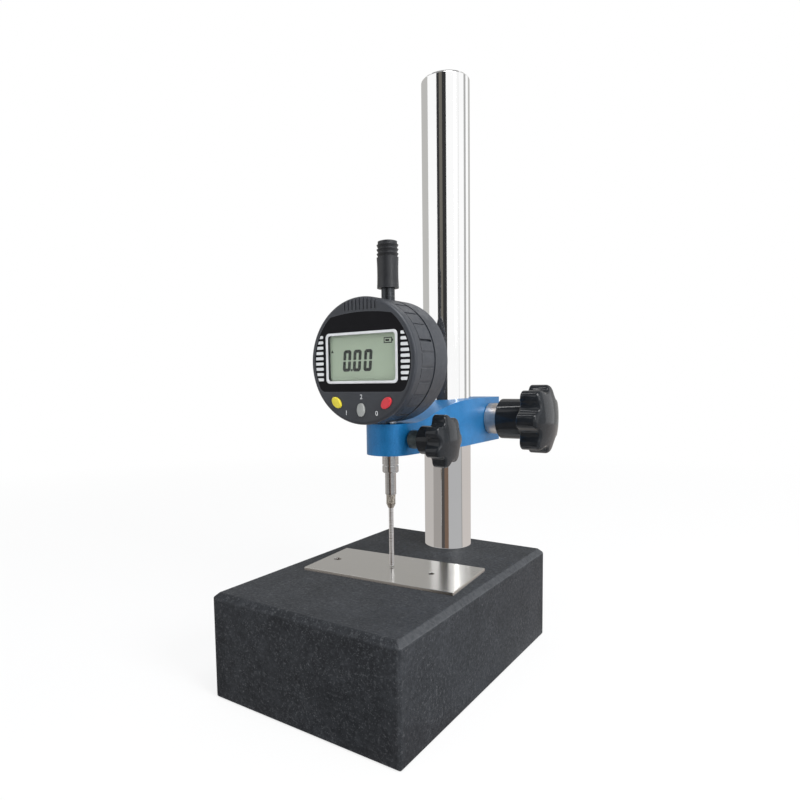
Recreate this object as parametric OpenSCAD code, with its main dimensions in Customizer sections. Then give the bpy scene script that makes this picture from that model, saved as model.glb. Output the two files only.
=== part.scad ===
// Digital height gauge: a digital indicator held over a granite base by an arm
// that clamps on a chromed column. Millimetres, +Z up.
// The origin is the centre of the base's underside. The display looks to -Y,
// the column stands towards the back, and both clamp knobs stick out to +X.

/* [Granite base] */
// Width of the base, left to right
base_w = 100; // [96:1:140]
// Depth of the base, front to back
base_d = 150; // [146:1:200]
// Height of the base
base_h = 49; // [44:1:70]
// Chamfer along the top edges
base_edge = 2.5; // [0.5:0.1:4]
// Chamfer along the upright edges
base_corner = 1.2; // [0.4:0.1:3]
// Chamfer along the bottom edges
base_foot = 1; // [0.4:0.1:2]
// Distance from the column's axis to the base's rear edge
column_inset = 18; // [17:0.5:24]

/* [Column] */
// Diameter of the column
column_d = 26; // [24:0.5:30]
// Height of the column above the base
column_h = 255; // [200:1:320]
// Chamfer at the column's top
column_edge = 1.2; // [0.5:0.1:2]
// Diameter of the bolt that holds the column
bolt_d = 10; // [8:1:12]
// Diameter of the bolt's head
bolt_head_d = 16; // [15:0.5:18]
// Height of the bolt's head
bolt_head_h = 10; // [8:0.5:11]
// Width across the flats of the bolt's socket
bolt_key = 8; // [6:1:9]
// Depth of the bolt's thread in the column
bolt_grip = 20; // [12:1:30]
// Diameter of the bolt's washer
washer_d = 20; // [19:0.5:21]
// Thickness of the bolt's washer
washer_t = 2; // [1.5:0.1:3]
// Diameter of the recess under the base
recess_d = 22; // [21.5:0.5:26]
// How deep the bolt's head sits under the base's bottom face
recess_gap = 2; // [1:0.5:4]

/* [Plate on the base] */
// Length of the plate
plate_l = 80; // [70:1:85]
// Width of the plate
plate_w = 40; // [30:1:42]
// Thickness of the plate
plate_t = 1.5; // [1:0.1:4]
// Angle at which the plate lies
plate_turn = 4.6; // [0:0.1:6]
// Sideways place of the plate
plate_x = 1.8; // [-2:0.1:2]
// Distance of the plate's middle in front of the stem
plate_front = 1.3; // [0:0.1:4]
// Diameter of the large hole
plate_hole_d = 4.4; // [3:0.1:6]
// Diameter of the small hole
plate_pin_d = 3; // [2:0.1:5]
// Distance of the large hole from the plate's middle
plate_hole_x = 33; // [26:0.5:34]
// Distance of the small hole from the plate's middle
plate_pin_x = 20.5; // [14:0.5:26]

/* [Arm] */
// Distance between the column's axis and the stem's axis
arm_reach = 59.5; // [57:0.5:72]
// Height of the arm at the column
arm_h = 25; // [23:0.5:32]
// Height of the arm's tip
tip_h = 15.2; // [14:0.1:17]
// Radius of the arm's tip
tip_r = 11.5; // [10:0.1:12]
// Wall between the column and each side of the arm
arm_wall = 4.5; // [4:0.5:8]
// Distance from the stem to the start of the arm's rise
rise_start = 2.5; // [2:0.1:5]
// Length of the hollow part of the rise
rise_low = 13; // [11:0.5:18]
// Length of the rounded part of the rise
rise_high = 41; // [36:0.5:44]
// Length of the tail behind the clamp screw
tail_l = 14; // [10:0.5:18]
// Radius of the arm's rear corners
tail_r = 1.5; // [0.5:0.1:3]
// Width of the clamping slit
slit_w = 2; // [1:0.1:3]

/* [Column clamp] */
// Diameter of the clamp screw
clamp_screw_d = 6; // [5:0.5:8]
// Wall between the column and the clamp screw
clamp_web = 3; // [1.5:0.1:4]
// Diameter of the steel collar
clamp_collar_d = 17.5; // [14:0.5:20]
// Length of the steel collar
clamp_collar_l = 7.5; // [4:0.5:10]
// Diameter of the knob over its lobes
clamp_knob_d = 38.5; // [36:0.5:42]
// Height of the knob's lobes
clamp_knob_rim = 10.2; // [9:0.1:14]
// Height of the knob's crown over the lobes
clamp_knob_crown = 3.8; // [3:0.1:6]
// Radius of the knob's lobes
clamp_lobe_r = 4.4; // [4.2:0.1:4.6]
// Radius of the flutes between the lobes
clamp_flute_r = 4.5; // [4.2:0.1:5]
// Diameter of the knob's hub
clamp_hub_d = 22.4; // [19:0.2:23]
// Length of the knob's hub
clamp_hub_l = 15.4; // [10:0.2:20]
// Depth of the screw in the knob
clamp_grip = 18; // [10:0.5:22]
// Angle between a lobe of the knob and the upright
clamp_turn = 13; // [0:13:39]

/* [Stem clamp] */
// Diameter of the clamp screw
lock_screw_d = 5; // [4:0.5:6]
// Diameter of the collar on the screw
lock_collar_d = 8.8; // [7.5:0.1:10]
// Length of the collar on the screw
lock_collar_l = 6; // [4:0.1:8]
// Gap between the arm's tip and the collar
lock_gap = 0.7; // [0.3:0.1:2]
// Diameter of the knob over its lobes
lock_knob_d = 25; // [24:0.5:26]
// Height of the knob's lobes
lock_knob_rim = 6.6; // [5:0.1:9]
// Height of the knob's crown over the lobes
lock_knob_crown = 2.4; // [2.4:0.5:3.9]
// Radius of the knob's lobes
lock_lobe_r = 2.9; // [2.7:0.1:3.1]
// Radius of the flutes between the lobes
lock_flute_r = 2.9; // [2.7:0.1:3.3]
// Diameter of the knob's hub
lock_hub_d = 13.5; // [12:0.1:14.5]
// Length of the knob's hub
lock_hub_l = 7.7; // [5:0.1:10]
// Depth of the screw in the knob
lock_grip = 10; // [6:0.5:12]
// Angle between a lobe of the knob and the upright
lock_turn = 39; // [0:13:39]
// Length of the pad between screw and stem
lock_pad_l = 2; // [1.5:0.1:3]

/* [Indicator housing] */
// Diameter of the indicator
dial_d = 58.2; // [56:0.2:62]
// Depth of the rear housing
rear_depth = 10.2; // [10:0.1:12]
// Wall of the rear housing
rear_wall = 3; // [2:0.1:4]
// Front wall of the rear housing
rear_front_t = 1.2; // [1:0.1:1.4]
// Thickness of the rear cover
cover_t = 1.8; // [1.4:0.1:3]
// Chamfer of the rear cover
cover_edge = 0.8; // [0.3:0.1:1.2]
// Distance of the cover's screws from the middle
cover_screw_r = 23.2; // [22:0.1:23.4]
// Gap between arm and indicator
seat_gap = 0.5; // [0.4:0.1:2]
// Diameter of the hub that carries the display
hub_d = 18; // [16:0.5:20]
// Diameter of the cable hole in the hub
hub_hole_d = 14; // [10:0.5:14.5]

/* [Display housing] */
// Depth of the display housing
display_depth = 17.4; // [17:0.1:20]
// Wall of the display housing
shell_wall = 2; // [1.7:0.1:2.2]
// Thickness of the display housing's face
face_t = 2; // [1.8:0.1:2.6]
// Rounding of the face's edge
face_edge = 1.6; // [0.8:0.1:2]
// Depth of the smooth ring behind the face
ring_depth = 5.6; // [4:0.1:6]
// Height of the grip pads
pad_h = 0.45; // [0.2:0.05:0.6]
// Number of the grip pads
pad_count = 28; // [20:1:36]
// Length of the grip pads
pad_l = 10.2; // [8:0.1:10.4]
// Width of the gaps between the grip pads
pad_gap = 1.3; // [0.8:0.1:2]
// Thickness of the glossy panel
panel_t = 1; // [0.6:0.1:1]
// Radius of the glossy panel
panel_r = 26.7; // [26:0.1:26.8]
// Height of the panel's arched top above the middle
panel_top = 22.2; // [20:0.1:22.4]
// Depth of the panel's straight bottom under the middle
panel_low = 13.9; // [13:0.1:14]
// Width of the display's window
window_w = 37.6; // [30:0.2:37.8]
// Height of the display's window
window_h = 21.2; // [18:0.2:22.4]
// Height of the window's middle above the dial's middle
window_up = 1.6; // [1.5:0.05:2]
// Width of the frame round the window
frame_w = 1.1; // [0.8:0.1:1.2]
// Thickness of the frame round the window
frame_t = 0.4; // [0.3:0.1:0.6]
// Thickness of the clear lens
lens_t = 0.8; // [0.5:0.1:0.8]
// Number of the grooves above the panel
rib_count = 9; // [5:1:11]
// Distance between the grooves above the panel
rib_pitch = 2.1; // [1.6:0.05:2.2]

/* [Buttons] */
// Width of the buttons
button_w = 4.2; // [3.8:0.1:4.4]
// Length of the buttons
button_l = 6.2; // [5.6:0.1:6.4]
// How far the buttons stand out of the face
button_out = 1; // [0.7:0.1:1.5]
// Travel of the buttons
button_travel = 0.6; // [0.3:0.1:0.6]
// Sideways place of the outer buttons
button_x = 13.9; // [13.4:0.1:14.2]
// Depth of the outer buttons under the middle
button_z = 18.9; // [18.8:0.1:19.2]
// Depth of the middle button under the middle
preset_z = 22.2; // [22:0.1:22.4]
// Tilt of the outer buttons
button_tilt = 45; // [20:1:60]

/* [Battery and port] */
// Diameter of the coin cell
cell_d = 20; // [16:0.5:20]
// Thickness of the coin cell
cell_t = 3.2; // [1.6:0.1:3.2]
// Angle of the port above the middle
port_angle = 25; // [22:1:30]
// Width of the port's cover round the housing
port_w = 7; // [5:0.1:8]

/* [Measuring spindle] */
// Diameter of the stem
stem_d = 8; // [7.6:0.1:8]
// Diameter of the spindle
spindle_d = 5.4; // [5:0.1:5.4]
// Diameter of the spindle's upper rod
rod_d = 3.6; // [3:0.1:3.8]
// Travel of the spindle
spindle_travel = 12.7; // [5:0.1:12.7]
// Length of the contact needle
needle_l = 29.6; // [20:0.2:40]
// Diameter of the contact needle
needle_d = 2.3; // [1.8:0.1:2.6]
// Gap between needle and plate at rest
tip_gap = 0.2; // [0.1:0.05:0.4]
// Length of the needle's holder
holder_l = 6.8; // [5:0.1:9]
// Diameter of the needle's holder
holder_d = 4.6; // [4.2:0.1:5.2]
// Length of spindle between holder and bush
spindle_out = 10.7; // [6:0.1:14]
// Height of the stem's lower bush
bush_h = 3.4; // [2.5:0.1:4.5]
// Height of the groove above the bush
bush_groove = 0.7; // [0.4:0.1:1]
// Length of stem and bush under the arm
stem_out = 9.3; // [6:0.1:12]
// Diameter of the neck
neck_d = 6.5; // [6.2:0.1:6.6]
// Gap between the housing and the lifting cap
cap_gap = 5.9; // [1:0.1:7]
// Height of the lifting cap
cap_h = 22.7; // [21:0.1:26]
// Diameter of the lifting cap
cap_d = 10.5; // [10:0.1:11]

/* [Hidden] */
$fn = 72;

eps = 0.01;             // overshoot of cuts
thread_gap = 0.05;      // radial play of a screw in its thread
slide_fit = 0.05;       // radial play of the column in the arm
stem_fit = 0.03;        // radial play of stem and spindle
seat = 0.1;             // play of a piece in its pocket

column_y = base_d/2 - column_inset;
stem_y = column_y - arm_reach;

// Heights, built up from the plate under the needle's tip
tip_z = base_h + plate_t + tip_gap;
holder_z = tip_z + needle_l;
spindle_z = holder_z + holder_l;
bush_z = spindle_z + spindle_out;
stem_z = bush_z + bush_h + bush_groove;
arm_z = bush_z + stem_out;
dial_r = dial_d/2;
dial_z = arm_z + tip_h + seat_gap + dial_r;
dial_top = dial_z + dial_r;

// Depths along Y, built up from the stem's axis in the rear housing
stem_depth = 6.1;       // from the rear housing's front to the stem's axis
rear_front = stem_y - stem_depth;
rear_back = rear_front + rear_depth;
wall_back = rear_front + rear_front_t;
turn_gap = 0.2;         // between rear housing and display housing
display_back_y = rear_front - turn_gap;
face_y = display_back_y - display_depth;
face_in = face_y + face_t;
ledge_y = face_y + panel_t;
lens_y = ledge_y - lens_t;
pads_y = face_y + ring_depth;
pads_back = pads_y + pad_l;
port_y0 = pads_y + 0.2;
port_y1 = pads_back - 0.2;
port_bevel = 1.4;       // how far the port's cover reaches into the housing

// Display housing, from the face inwards
lcd_t = 1.8;
strip_t = 2;
board_t = 1.2;
board_y = face_in + lcd_t + strip_t;
board_back = board_y + board_t;
back_plate_t = 2;
back_plate_y = display_back_y - back_plate_t;
shell_r = dial_r - shell_wall;
pad_r = dial_r - pad_h;
post_ring = 24;         // distance of the screw posts from the middle
post_places = [for (a = [60, 120, 215, 325]) post_ring*[cos(a), sin(a)]];
post_r = 2.2;           // screw posts, where they pass the main board
step_r = 3;             // screw posts, where they carry the main board
screw_r = 0.8;
screw_head_r = 1.85;
screw_head_h = 1;
frame_out_w = window_w + 2*frame_w;
frame_out_h = window_h + 2*frame_w;
frame_corner = 2;
rib_w = 0.9;            // width of the grooves above the panel
lip = 0.45;             // how far the lens stays inside the frame's edge
flange_w = 0.9;         // rim of a button behind the face
flange_t = 0.8;
plunger_r = 1.2;
switch_w = 3.6;
switch_h = 1;
switch_tip = 0.4;
connector_w = 1.8;
contact_w = 4;          // width of the battery springs

// Battery tray
tray_floor = 0.6;
tray_y = board_back + 1.1;
tray_back = tray_y + 0.6 + cell_t + tray_floor;
tray_half = cell_d/2 + 1;
cell_x = -(dial_r - cell_d/2 - 4.5);
tray_end = cell_x + cell_d/2 + 1.5;
tray_mouth = 12;        // depth of the cut through the housing's side

// Rear housing
rear_r = dial_r - rear_wall;
boss_low = 18.9;        // from the dial's middle down to the boss that takes the stem
boss_high = 18.1;       // from the dial's middle up to the boss that takes the neck
boss_top = dial_z - boss_low;
boss_half = 7;
top_boss_z = dial_z + boss_high;
top_boss_half = 5.5;
stem_bore = stem_d/2 - 1;
stem_face = dial_z - dial_r - 0.05;   // the stem's shoulder under the housing
shank_d = 7;
bush_tail = 5;          // the part of the bush inside the stem
hub_len = 4.5;
groove_d = 1.4;         // depth of the hub's ring groove, on the diameter
ring_y = back_plate_y - 1.3;
ring_t = 1;
cover_thread = 5.5;     // how far the cover's screws reach into their posts
back_thread = 3;        // how far the back plate's screws reach into theirs
cover_posts = [for (a = [45:90:315]) cover_screw_r*[cos(a), sin(a)]];

// Spindle in the rear housing
carrier_z = boss_top + 0.3;
carrier_h = 13.7;
carrier_top = carrier_z + carrier_h;
carrier_half_x = 6;
carrier_half_y = 3.1;
neck_z = top_boss_z + 2;
cap_z = dial_top + cap_gap;
cap_top = cap_z + cap_h;
cap_solid = 6.6;        // solid top of the lifting cap
neck_top = cap_z + spindle_travel + 0.9;   // stays inside the lifted cap
rod_top = cap_top - cap_solid + 3.4;
holder_cone = 2;
holder_edge = 0.3;
holder_pin_r = 1.5;     // the holder's threaded pin in the spindle
holder_pin_l = 5;
needle_pin_r = 0.8;     // the needle's pin in the holder
needle_pin_l = 3.5;
spring_r = 2.6;
spring_wire = 0.3;
spring_turns = 9;
reader_t = 0.8;
reader_h = 26;
reader_low = 10;        // how far the board reaches under the dial's middle
scale_gap = 0.2;
scale_l = 22.4;
pin_r = 1;
rail_x = carrier_half_x + 2;
rail_w = 3.5;
scale_t = stem_y - carrier_half_y - wall_back - reader_t - scale_gap;

// Arm
arm_w = column_d + 2*arm_wall;
arm_top = arm_z + arm_h;
tip_top = arm_z + tip_h;
clamp_y = column_y + column_d/2 + clamp_web + clamp_screw_d/2;
clamp_z = arm_z + arm_h/2 + 0.5;
tail_y = clamp_y + tail_l;
shoulder_y = column_y - column_d/2;
lock_z = arm_z + tip_h/2;
lock_collar_x = tip_r + lock_gap;
lock_hub_x = lock_collar_x + lock_collar_l;
clamp_hub_x = arm_w/2 + clamp_collar_l;

recess_h = recess_gap + bolt_head_h + washer_t;
knob_lobes = 7;
lobe_lap = 0.04;        // keeps lobe and flute arcs crossing where they meet
crown_over = 0.5;       // the crown's dome is turned a little wider than the lobes
pad_play = 0.2;         // radial play of the stem's pad in the screw's hole
pad_x = stem_d/2 + seat;
lock_screw_x = pad_x + lock_pad_l + 0.05;

// Outlines and helpers

// An outline in the display's plane, thick from y0 to y1
module slab(y0, y1)
    translate([0, y1, dial_z]) rotate([90, 0, 0]) linear_extrude(height = y1 - y0) children();

module disc(r, y0, y1) slab(y0, y1) circle(r);

// A profile of radius and depth, turned about the display's axis
module turned() translate([0, 0, dial_z]) rotate([-90, 0, 0]) rotate_extrude() children();

module on_stem(z = 0) translate([0, stem_y, z]) children();

module along_x(x, y, z) translate([x, y, z]) rotate([90, 0, 90]) children();

module box2(w, h, r = 0) {
    if (r > 0) {
        square([w - 2*r, h], center = true);
        square([w, h - 2*r], center = true);
        for (sx = [-1, 1], sy = [-1, 1])
            translate([sx*(w/2 - r), sy*(h/2 - r)]) circle(r);
    } else {
        square([w, h], center = true);
    }
}

module ring2(r_out, r_in) difference() { circle(r_out); circle(r_in); }

module tube(r_out, r_in, h) difference() {
    cylinder(h = h, r = r_out);
    translate([0, 0, -1]) cylinder(h = h + 2, r = r_in);
}

// An oval of four tangent arcs, half width a and half length b
module oval2(a, b) {
    end_r = a*0.76;
    c = b - end_r;
    side = (c*c - (a - end_r)*(a - end_r))/(2*(a - end_r));
    side_r = side + a;
    cut = c*side_r/(side_r - end_r);
    intersection() {
        translate([side, 0]) circle(side_r);
        translate([-side, 0]) circle(side_r);
        square([3*a, 2*cut], center = true);
    }
    for (s = [-1, 1]) translate([0, s*c]) circle(end_r);
}

// Rounds a corner of the outline: the wedge from a0 to a1 about c becomes an arc
module round_corner(c, q, a0, a1) {
    difference() {
        children();
        translate(c) polygon([[0, 0], 9*q*[cos(a0), sin(a0)],
            12*q*[cos((a0 + a1)/2), sin((a0 + a1)/2)], 9*q*[cos(a1), sin(a1)]]);
    }
    translate(c) circle(q);
}

// A rectangle standing on y = 0 with its lower and upper corners cut off
module chamfered(w, h, low, high)
    polygon([[-w/2 + low, 0], [w/2 - low, 0], [w/2, low], [w/2, h - high],
        [w/2 - high, h], [-w/2 + high, h], [-w/2, h - high], [-w/2, low]]);

// Star knobs: lobes and flutes are arcs that run into each other

module star2(r, lobe_r, flute_r) {
    half = 180/knob_lobes;
    lobe_c = r - lobe_r;
    flute_c = lobe_c*cos(half) + sqrt(pow(lobe_r + flute_r, 2) - pow(lobe_c*sin(half), 2));
    difference() {
        polygon([for (k = [0:2*knob_lobes - 1])
            (k % 2 == 0 ? lobe_c : flute_c)*[cos(k*half), sin(k*half)]]);
        for (k = [0:knob_lobes - 1])
            rotate((2*k + 1)*half) translate([flute_c, 0]) circle(flute_r);
    }
    for (k = [0:knob_lobes - 1]) rotate(2*k*half) translate([lobe_c, 0]) circle(lobe_r + lobe_lap);
}

// The crown's profile: a dome that runs into the lobes' ends with radius q
module crown2(r, rim, crown, q) {
    dome_r = (r*r + crown*crown)/(2*crown);
    dome_z = rim + crown - dome_r;
    corner_z = dome_z + sqrt(pow(dome_r - q, 2) - pow(r - q, 2));
    round_corner([r - q, corner_z], q, 0, atan2(corner_z - dome_z, r - q))
        intersection() {
            square([r, rim + crown + 1]);
            translate([0, dome_z]) circle(dome_r, $fn = 180);
        }
}

// A knob whose hub starts at the origin and whose crown looks to +X
module knob(turn, d, lobe_r, flute_r, rim, crown, hub_r, hub_l, bore_r, bore_l) {
    rotate([0, 90, 0]) rotate(180 - turn) difference() {
        union() {
            cylinder(h = hub_l + eps, r = hub_r);
            translate([0, 0, hub_l]) intersection() {
                linear_extrude(height = rim + crown + 1) star2(d/2, lobe_r, flute_r);
                rotate_extrude() crown2(d/2 + crown_over, rim, crown, d/14);
            }
        }
        translate([0, 0, -1]) cylinder(h = bore_l + 1, r = bore_r);
    }
}

// Base and column

module granite_base() color("#3d4045") difference() {
    intersection() {
        linear_extrude(height = base_h) translate([0, -base_d/2])
            chamfered(base_w, base_d, base_corner, base_corner);
        translate([0, base_d/2, 0]) rotate([90, 0, 0]) linear_extrude(height = base_d)
            chamfered(base_w, base_h, base_foot, base_edge);
        along_x(-base_w/2, 0, 0) linear_extrude(height = base_w)
            chamfered(base_d, base_h, base_foot, base_edge);
    }
    translate([0, column_y, -1]) {
        cylinder(h = base_h + 2, r = bolt_d/2 + 0.5);
        cylinder(h = recess_h + 1, r = recess_d/2);
    }
}

module column() color("#d9dade") translate([0, column_y, base_h]) difference() {
    union() {
        cylinder(h = column_h - column_edge, r = column_d/2);
        translate([0, 0, column_h - column_edge])
            cylinder(h = column_edge, r1 = column_d/2, r2 = column_d/2 - column_edge);
    }
    translate([0, 0, -1]) cylinder(h = bolt_grip + 5, r = bolt_d/2 + thread_gap);
}

module column_washer() color("#a9abb0")
    translate([0, column_y, recess_h - washer_t]) tube(washer_d/2, bolt_d/2 + 0.3, washer_t);

module column_bolt() color("#3a3b3e") translate([0, column_y, recess_gap]) difference() {
    union() {
        cylinder(h = bolt_head_h, r = bolt_head_d/2);
        cylinder(h = base_h + bolt_grip - recess_gap, r = bolt_d/2);
    }
    translate([0, 0, -1]) cylinder(h = bolt_head_h/2 + 1, r = bolt_key/2/cos(30), $fn = 6);
}

module gauge_plate() color("#b5b1a8")
    translate([plate_x, stem_y - plate_front, base_h]) rotate(plate_turn) difference() {
        linear_extrude(height = plate_t) box2(plate_l, plate_w, 0.4);
        translate([-plate_hole_x, 0, -1]) cylinder(h = plate_t + 2, r = plate_hole_d/2);
        translate([plate_pin_x, 0, -1]) cylinder(h = plate_t + 2, r = plate_pin_d/2);
    }

// Arm and its two clamps

// Plan of the arm: a round tip, flanks tangent to it, and a square tail
module arm_plan() {
    hw = arm_w/2;
    span = norm([hw, shoulder_y - stem_y]);
    a = atan2(shoulder_y - stem_y, hw) - acos(tip_r/span);
    t = tip_r*[cos(a), sin(a)] + [0, stem_y];
    translate([0, stem_y]) circle(tip_r);
    polygon([t, [hw, shoulder_y], [-hw, shoulder_y], [-t[0], t[1]]]);
    translate([-hw, shoulder_y - eps]) square([arm_w, tail_y - tail_r - shoulder_y + eps]);
    translate([-hw + tail_r, shoulder_y]) square([arm_w - 2*tail_r, tail_y - shoulder_y]);
    for (s = [-1, 1]) translate([s*(hw - tail_r), tail_y - tail_r]) circle(tail_r);
}

// Side view of the arm: the top rises in a hollow arc and then a rounded one
module arm_side() {
    y0 = stem_y + rise_start;
    y1 = y0 + rise_low;
    y2 = y1 + rise_high;
    slope = 2*atan((arm_h - tip_h)/(rise_low + rise_high));
    low_r = rise_low/sin(slope);
    high_r = rise_high/sin(slope);
    mid_h = tip_h + low_r*(1 - cos(slope));
    translate([stem_y - tip_r - 1, 0]) square([y0 - stem_y + tip_r + 1, tip_h]);
    difference() {
        translate([y0, 0]) square([rise_low, mid_h]);
        translate([y0, tip_h + low_r]) circle(low_r, $fn = 180);
    }
    intersection() {
        translate([y1, 0]) square([rise_high, arm_h]);
        translate([y2, arm_h - high_r]) circle(high_r, $fn = 360);
    }
    translate([y2, 0]) square([tail_y - y2 + 1, arm_h]);
}

module support_arm() color("#2373b8") difference() {
    intersection() {
        translate([0, 0, arm_z]) linear_extrude(height = arm_h) arm_plan();
        along_x(-arm_w/2 - 1, 0, arm_z) linear_extrude(height = arm_w + 2) arm_side();
    }
    translate([0, column_y, arm_z - 1]) cylinder(h = arm_h + 2, r = column_d/2 + slide_fit);
    translate([-slit_w/2, column_y, arm_z - 1]) cube([slit_w, tail_y, arm_h + 2]);
    on_stem(arm_z - 1) cylinder(h = tip_h + 2, r = stem_d/2 + stem_fit);
    along_x(0, clamp_y, clamp_z) cylinder(h = arm_w, r = clamp_screw_d/2 + 0.3);
    along_x(-arm_w, clamp_y, clamp_z) cylinder(h = arm_w, r = clamp_screw_d/2 + thread_gap);
    along_x(0, stem_y, lock_z) cylinder(h = 2*tip_r, r = lock_screw_d/2 + thread_gap);
}

module column_clamp_collar() color("#c9cacd")
    along_x(arm_w/2, clamp_y, clamp_z) tube(clamp_collar_d/2, clamp_screw_d/2 + 0.2, clamp_collar_l);

module column_clamp_screw() color("#b9babd")
    along_x(-arm_w/2 + 1, clamp_y, clamp_z)
        cylinder(h = arm_w/2 - 1 + clamp_hub_x + clamp_grip, r = clamp_screw_d/2);

module column_clamp_knob() color("#17181a") translate([clamp_hub_x, clamp_y, clamp_z])
    knob(clamp_turn, clamp_knob_d, clamp_lobe_r, clamp_flute_r, clamp_knob_rim, clamp_knob_crown,
        clamp_hub_d/2, clamp_hub_l, clamp_screw_d/2 + thread_gap, clamp_grip + thread_gap);

module stem_clamp_pad() color("#c2a14d")
    along_x(pad_x, stem_y, lock_z) cylinder(h = lock_pad_l, r = lock_screw_d/2 - pad_play);

module stem_clamp_screw() color("#b9babd")
    along_x(lock_screw_x, stem_y, lock_z)
        cylinder(h = lock_hub_x + lock_grip - lock_screw_x, r = lock_screw_d/2);

module stem_clamp_collar() color("#55585c")
    along_x(lock_collar_x, stem_y, lock_z)
        tube(lock_collar_d/2, lock_screw_d/2 + thread_gap, lock_collar_l);

module stem_clamp_knob() color("#17181a") translate([lock_hub_x, stem_y, lock_z])
    knob(lock_turn, lock_knob_d, lock_lobe_r, lock_flute_r, lock_knob_rim, lock_knob_crown,
        lock_hub_d/2, lock_hub_l, lock_screw_d/2 + thread_gap, lock_grip + thread_gap);

// Stem and rear housing

module stem() color("#cfd0d2") on_stem() difference() {
    union() {
        translate([0, 0, stem_z]) cylinder(h = stem_face - stem_z, r = stem_d/2);
        translate([0, 0, stem_z]) cylinder(h = boss_top - 0.5 - stem_z, r = shank_d/2);
    }
    translate([0, 0, stem_z - 1]) cylinder(h = boss_top - stem_z + 1, r = stem_bore);
}

module stem_bush() color("#d6d7d8") on_stem(bush_z) difference() {
    edge = 0.8;
    rotate_extrude() {
        square([stem_d/2 - edge, bush_h]);
        translate([0, edge]) square([stem_d/2, bush_h - edge]);
        translate([stem_d/2 - edge, edge]) circle(edge);
        square([stem_d/2 - 0.6, bush_h + bush_groove]);
        square([stem_bore - 0.02, bush_h + bush_groove + bush_tail]);
    }
    translate([0, 0, -1])
        cylinder(h = bush_h + bush_groove + bush_tail + 2, r = spindle_d/2 + stem_fit);
}

module indicator_body() color("#3f4145") difference() {
    union() {
        difference() {
            disc(dial_r, rear_front, rear_back);
            disc(rear_r, wall_back, rear_back + 1);
        }
        slab(rear_front - hub_len, rear_front + eps) ring2(hub_d/2, hub_hole_d/2);
        intersection() {
            disc(dial_r - 1, wall_back - eps, rear_back);
            translate([-boss_half, rear_front, dial_z - dial_r])
                cube([2*boss_half, rear_depth, boss_top - dial_z + dial_r]);
        }
        intersection() {
            disc(dial_r - 1, wall_back - eps, rear_back);
            translate([-top_boss_half, rear_front, top_boss_z])
                cube([2*top_boss_half, rear_depth, dial_r]);
        }
        slab(wall_back - eps, rear_back) for (p = cover_posts) translate(p) circle(step_r);
    }
    disc(hub_hole_d/2, rear_front - hub_len - 1, wall_back + 1);
    slab(ring_y - 0.05, ring_y + ring_t + 0.05) ring2(hub_d/2 + 1, (hub_d - groove_d)/2);
    slab(rear_front + 3, rear_back + 1) for (p = cover_posts) translate(p) circle(screw_r + 0.1);
    on_stem(dial_z - dial_r - 1) cylinder(h = boss_top - dial_z + dial_r + 2, r = shank_d/2 + 0.02);
    on_stem(dial_z) cylinder(h = dial_r + 1, r = neck_d/2 + 0.02);
}

module rear_cover() color("#3a3c40") difference() {
    turned() translate([0, rear_back])
        polygon([[0, 0], [dial_r, 0], [dial_r, cover_t - cover_edge], [dial_r - cover_edge, cover_t],
            [0, cover_t]]);
    for (p = cover_posts) translate([p[0], rear_back + cover_t, dial_z + p[1]])
        rotate([-90, 0, 0]) screw_hole(cover_t);
}

module screw_countersunk(l) {
    translate([0, 0, -screw_head_h]) cylinder(h = screw_head_h, r1 = screw_r, r2 = screw_head_r);
    translate([0, 0, -l]) cylinder(h = l - screw_head_h + eps, r = screw_r);
}

// The hole for such a screw through a cover whose face is at z = 0
module screw_hole(l) {
    translate([0, 0, -l - 1]) cylinder(h = l + 2, r = screw_r + 0.2);
    translate([0, 0, -screw_head_h - 0.1])
        cylinder(h = screw_head_h + 0.2, r1 = screw_r + 0.2, r2 = screw_head_r + 0.35);
}

module rear_cover_screws() color("#8d8f92")
    for (p = cover_posts) translate([p[0], rear_back + cover_t - 0.1, dial_z + p[1]])
        rotate([-90, 0, 0]) screw_countersunk(cover_t + cover_thread);

module neck_tube() color("#5b5e63")
    on_stem(neck_z) tube(neck_d/2, rod_d/2 + stem_fit + 0.02, neck_top - neck_z);

// A rail with a slot that the guide pin runs in
module guide_rail() color("#c4c5c7") translate([rail_x, 0, boss_top + 1])
    linear_extrude(height = top_boss_z - boss_top - 2) difference() {
        translate([0, wall_back]) square([rail_w, rear_back - wall_back - 1]);
        translate([-1, stem_y - pin_r - slide_fit]) square([rail_w + 0.2, 2*(pin_r + slide_fit)]);
    }

module reader_board() color("#1f5a3a")
    translate([-carrier_half_x - 4, wall_back, dial_z - reader_low])
        cube([2*carrier_half_x + 5, reader_t, reader_h]);

module retaining_ring() color("#9a9b9e") slab(ring_y, ring_y + ring_t) difference() {
    ring2(hub_d/2 + 2, (hub_d - groove_d)/2 + 0.05);
    translate([-1.5, 0]) square([3, hub_d]);
}

// Spindle and what moves with it

module spindle() color("#d2d3d5") on_stem() difference() {
    union() {
        translate([0, 0, spindle_z]) cylinder(h = carrier_top - spindle_z, r = spindle_d/2);
        translate([0, 0, spindle_z]) cylinder(h = rod_top - spindle_z, r = rod_d/2);
    }
    translate([0, 0, spindle_z - 1]) cylinder(h = holder_pin_l + 2, r = holder_pin_r + thread_gap);
}

module scale_carrier() color("#9fa1a5") difference() {
    translate([-carrier_half_x, stem_y - carrier_half_y, carrier_z])
        cube([2*carrier_half_x, 2*carrier_half_y, carrier_h]);
    on_stem(carrier_z - 1) cylinder(h = carrier_h + 2, r = spindle_d/2 + 0.02);
    along_x(0, stem_y, carrier_z + carrier_h/2) cylinder(h = carrier_half_x + 1, r = pin_r + 0.02);
}

module scale_strip() color("#c8b56a")
    translate([-carrier_half_x, wall_back + reader_t + scale_gap, carrier_z + 0.3])
        cube([2*carrier_half_x, scale_t, scale_l]);

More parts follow.
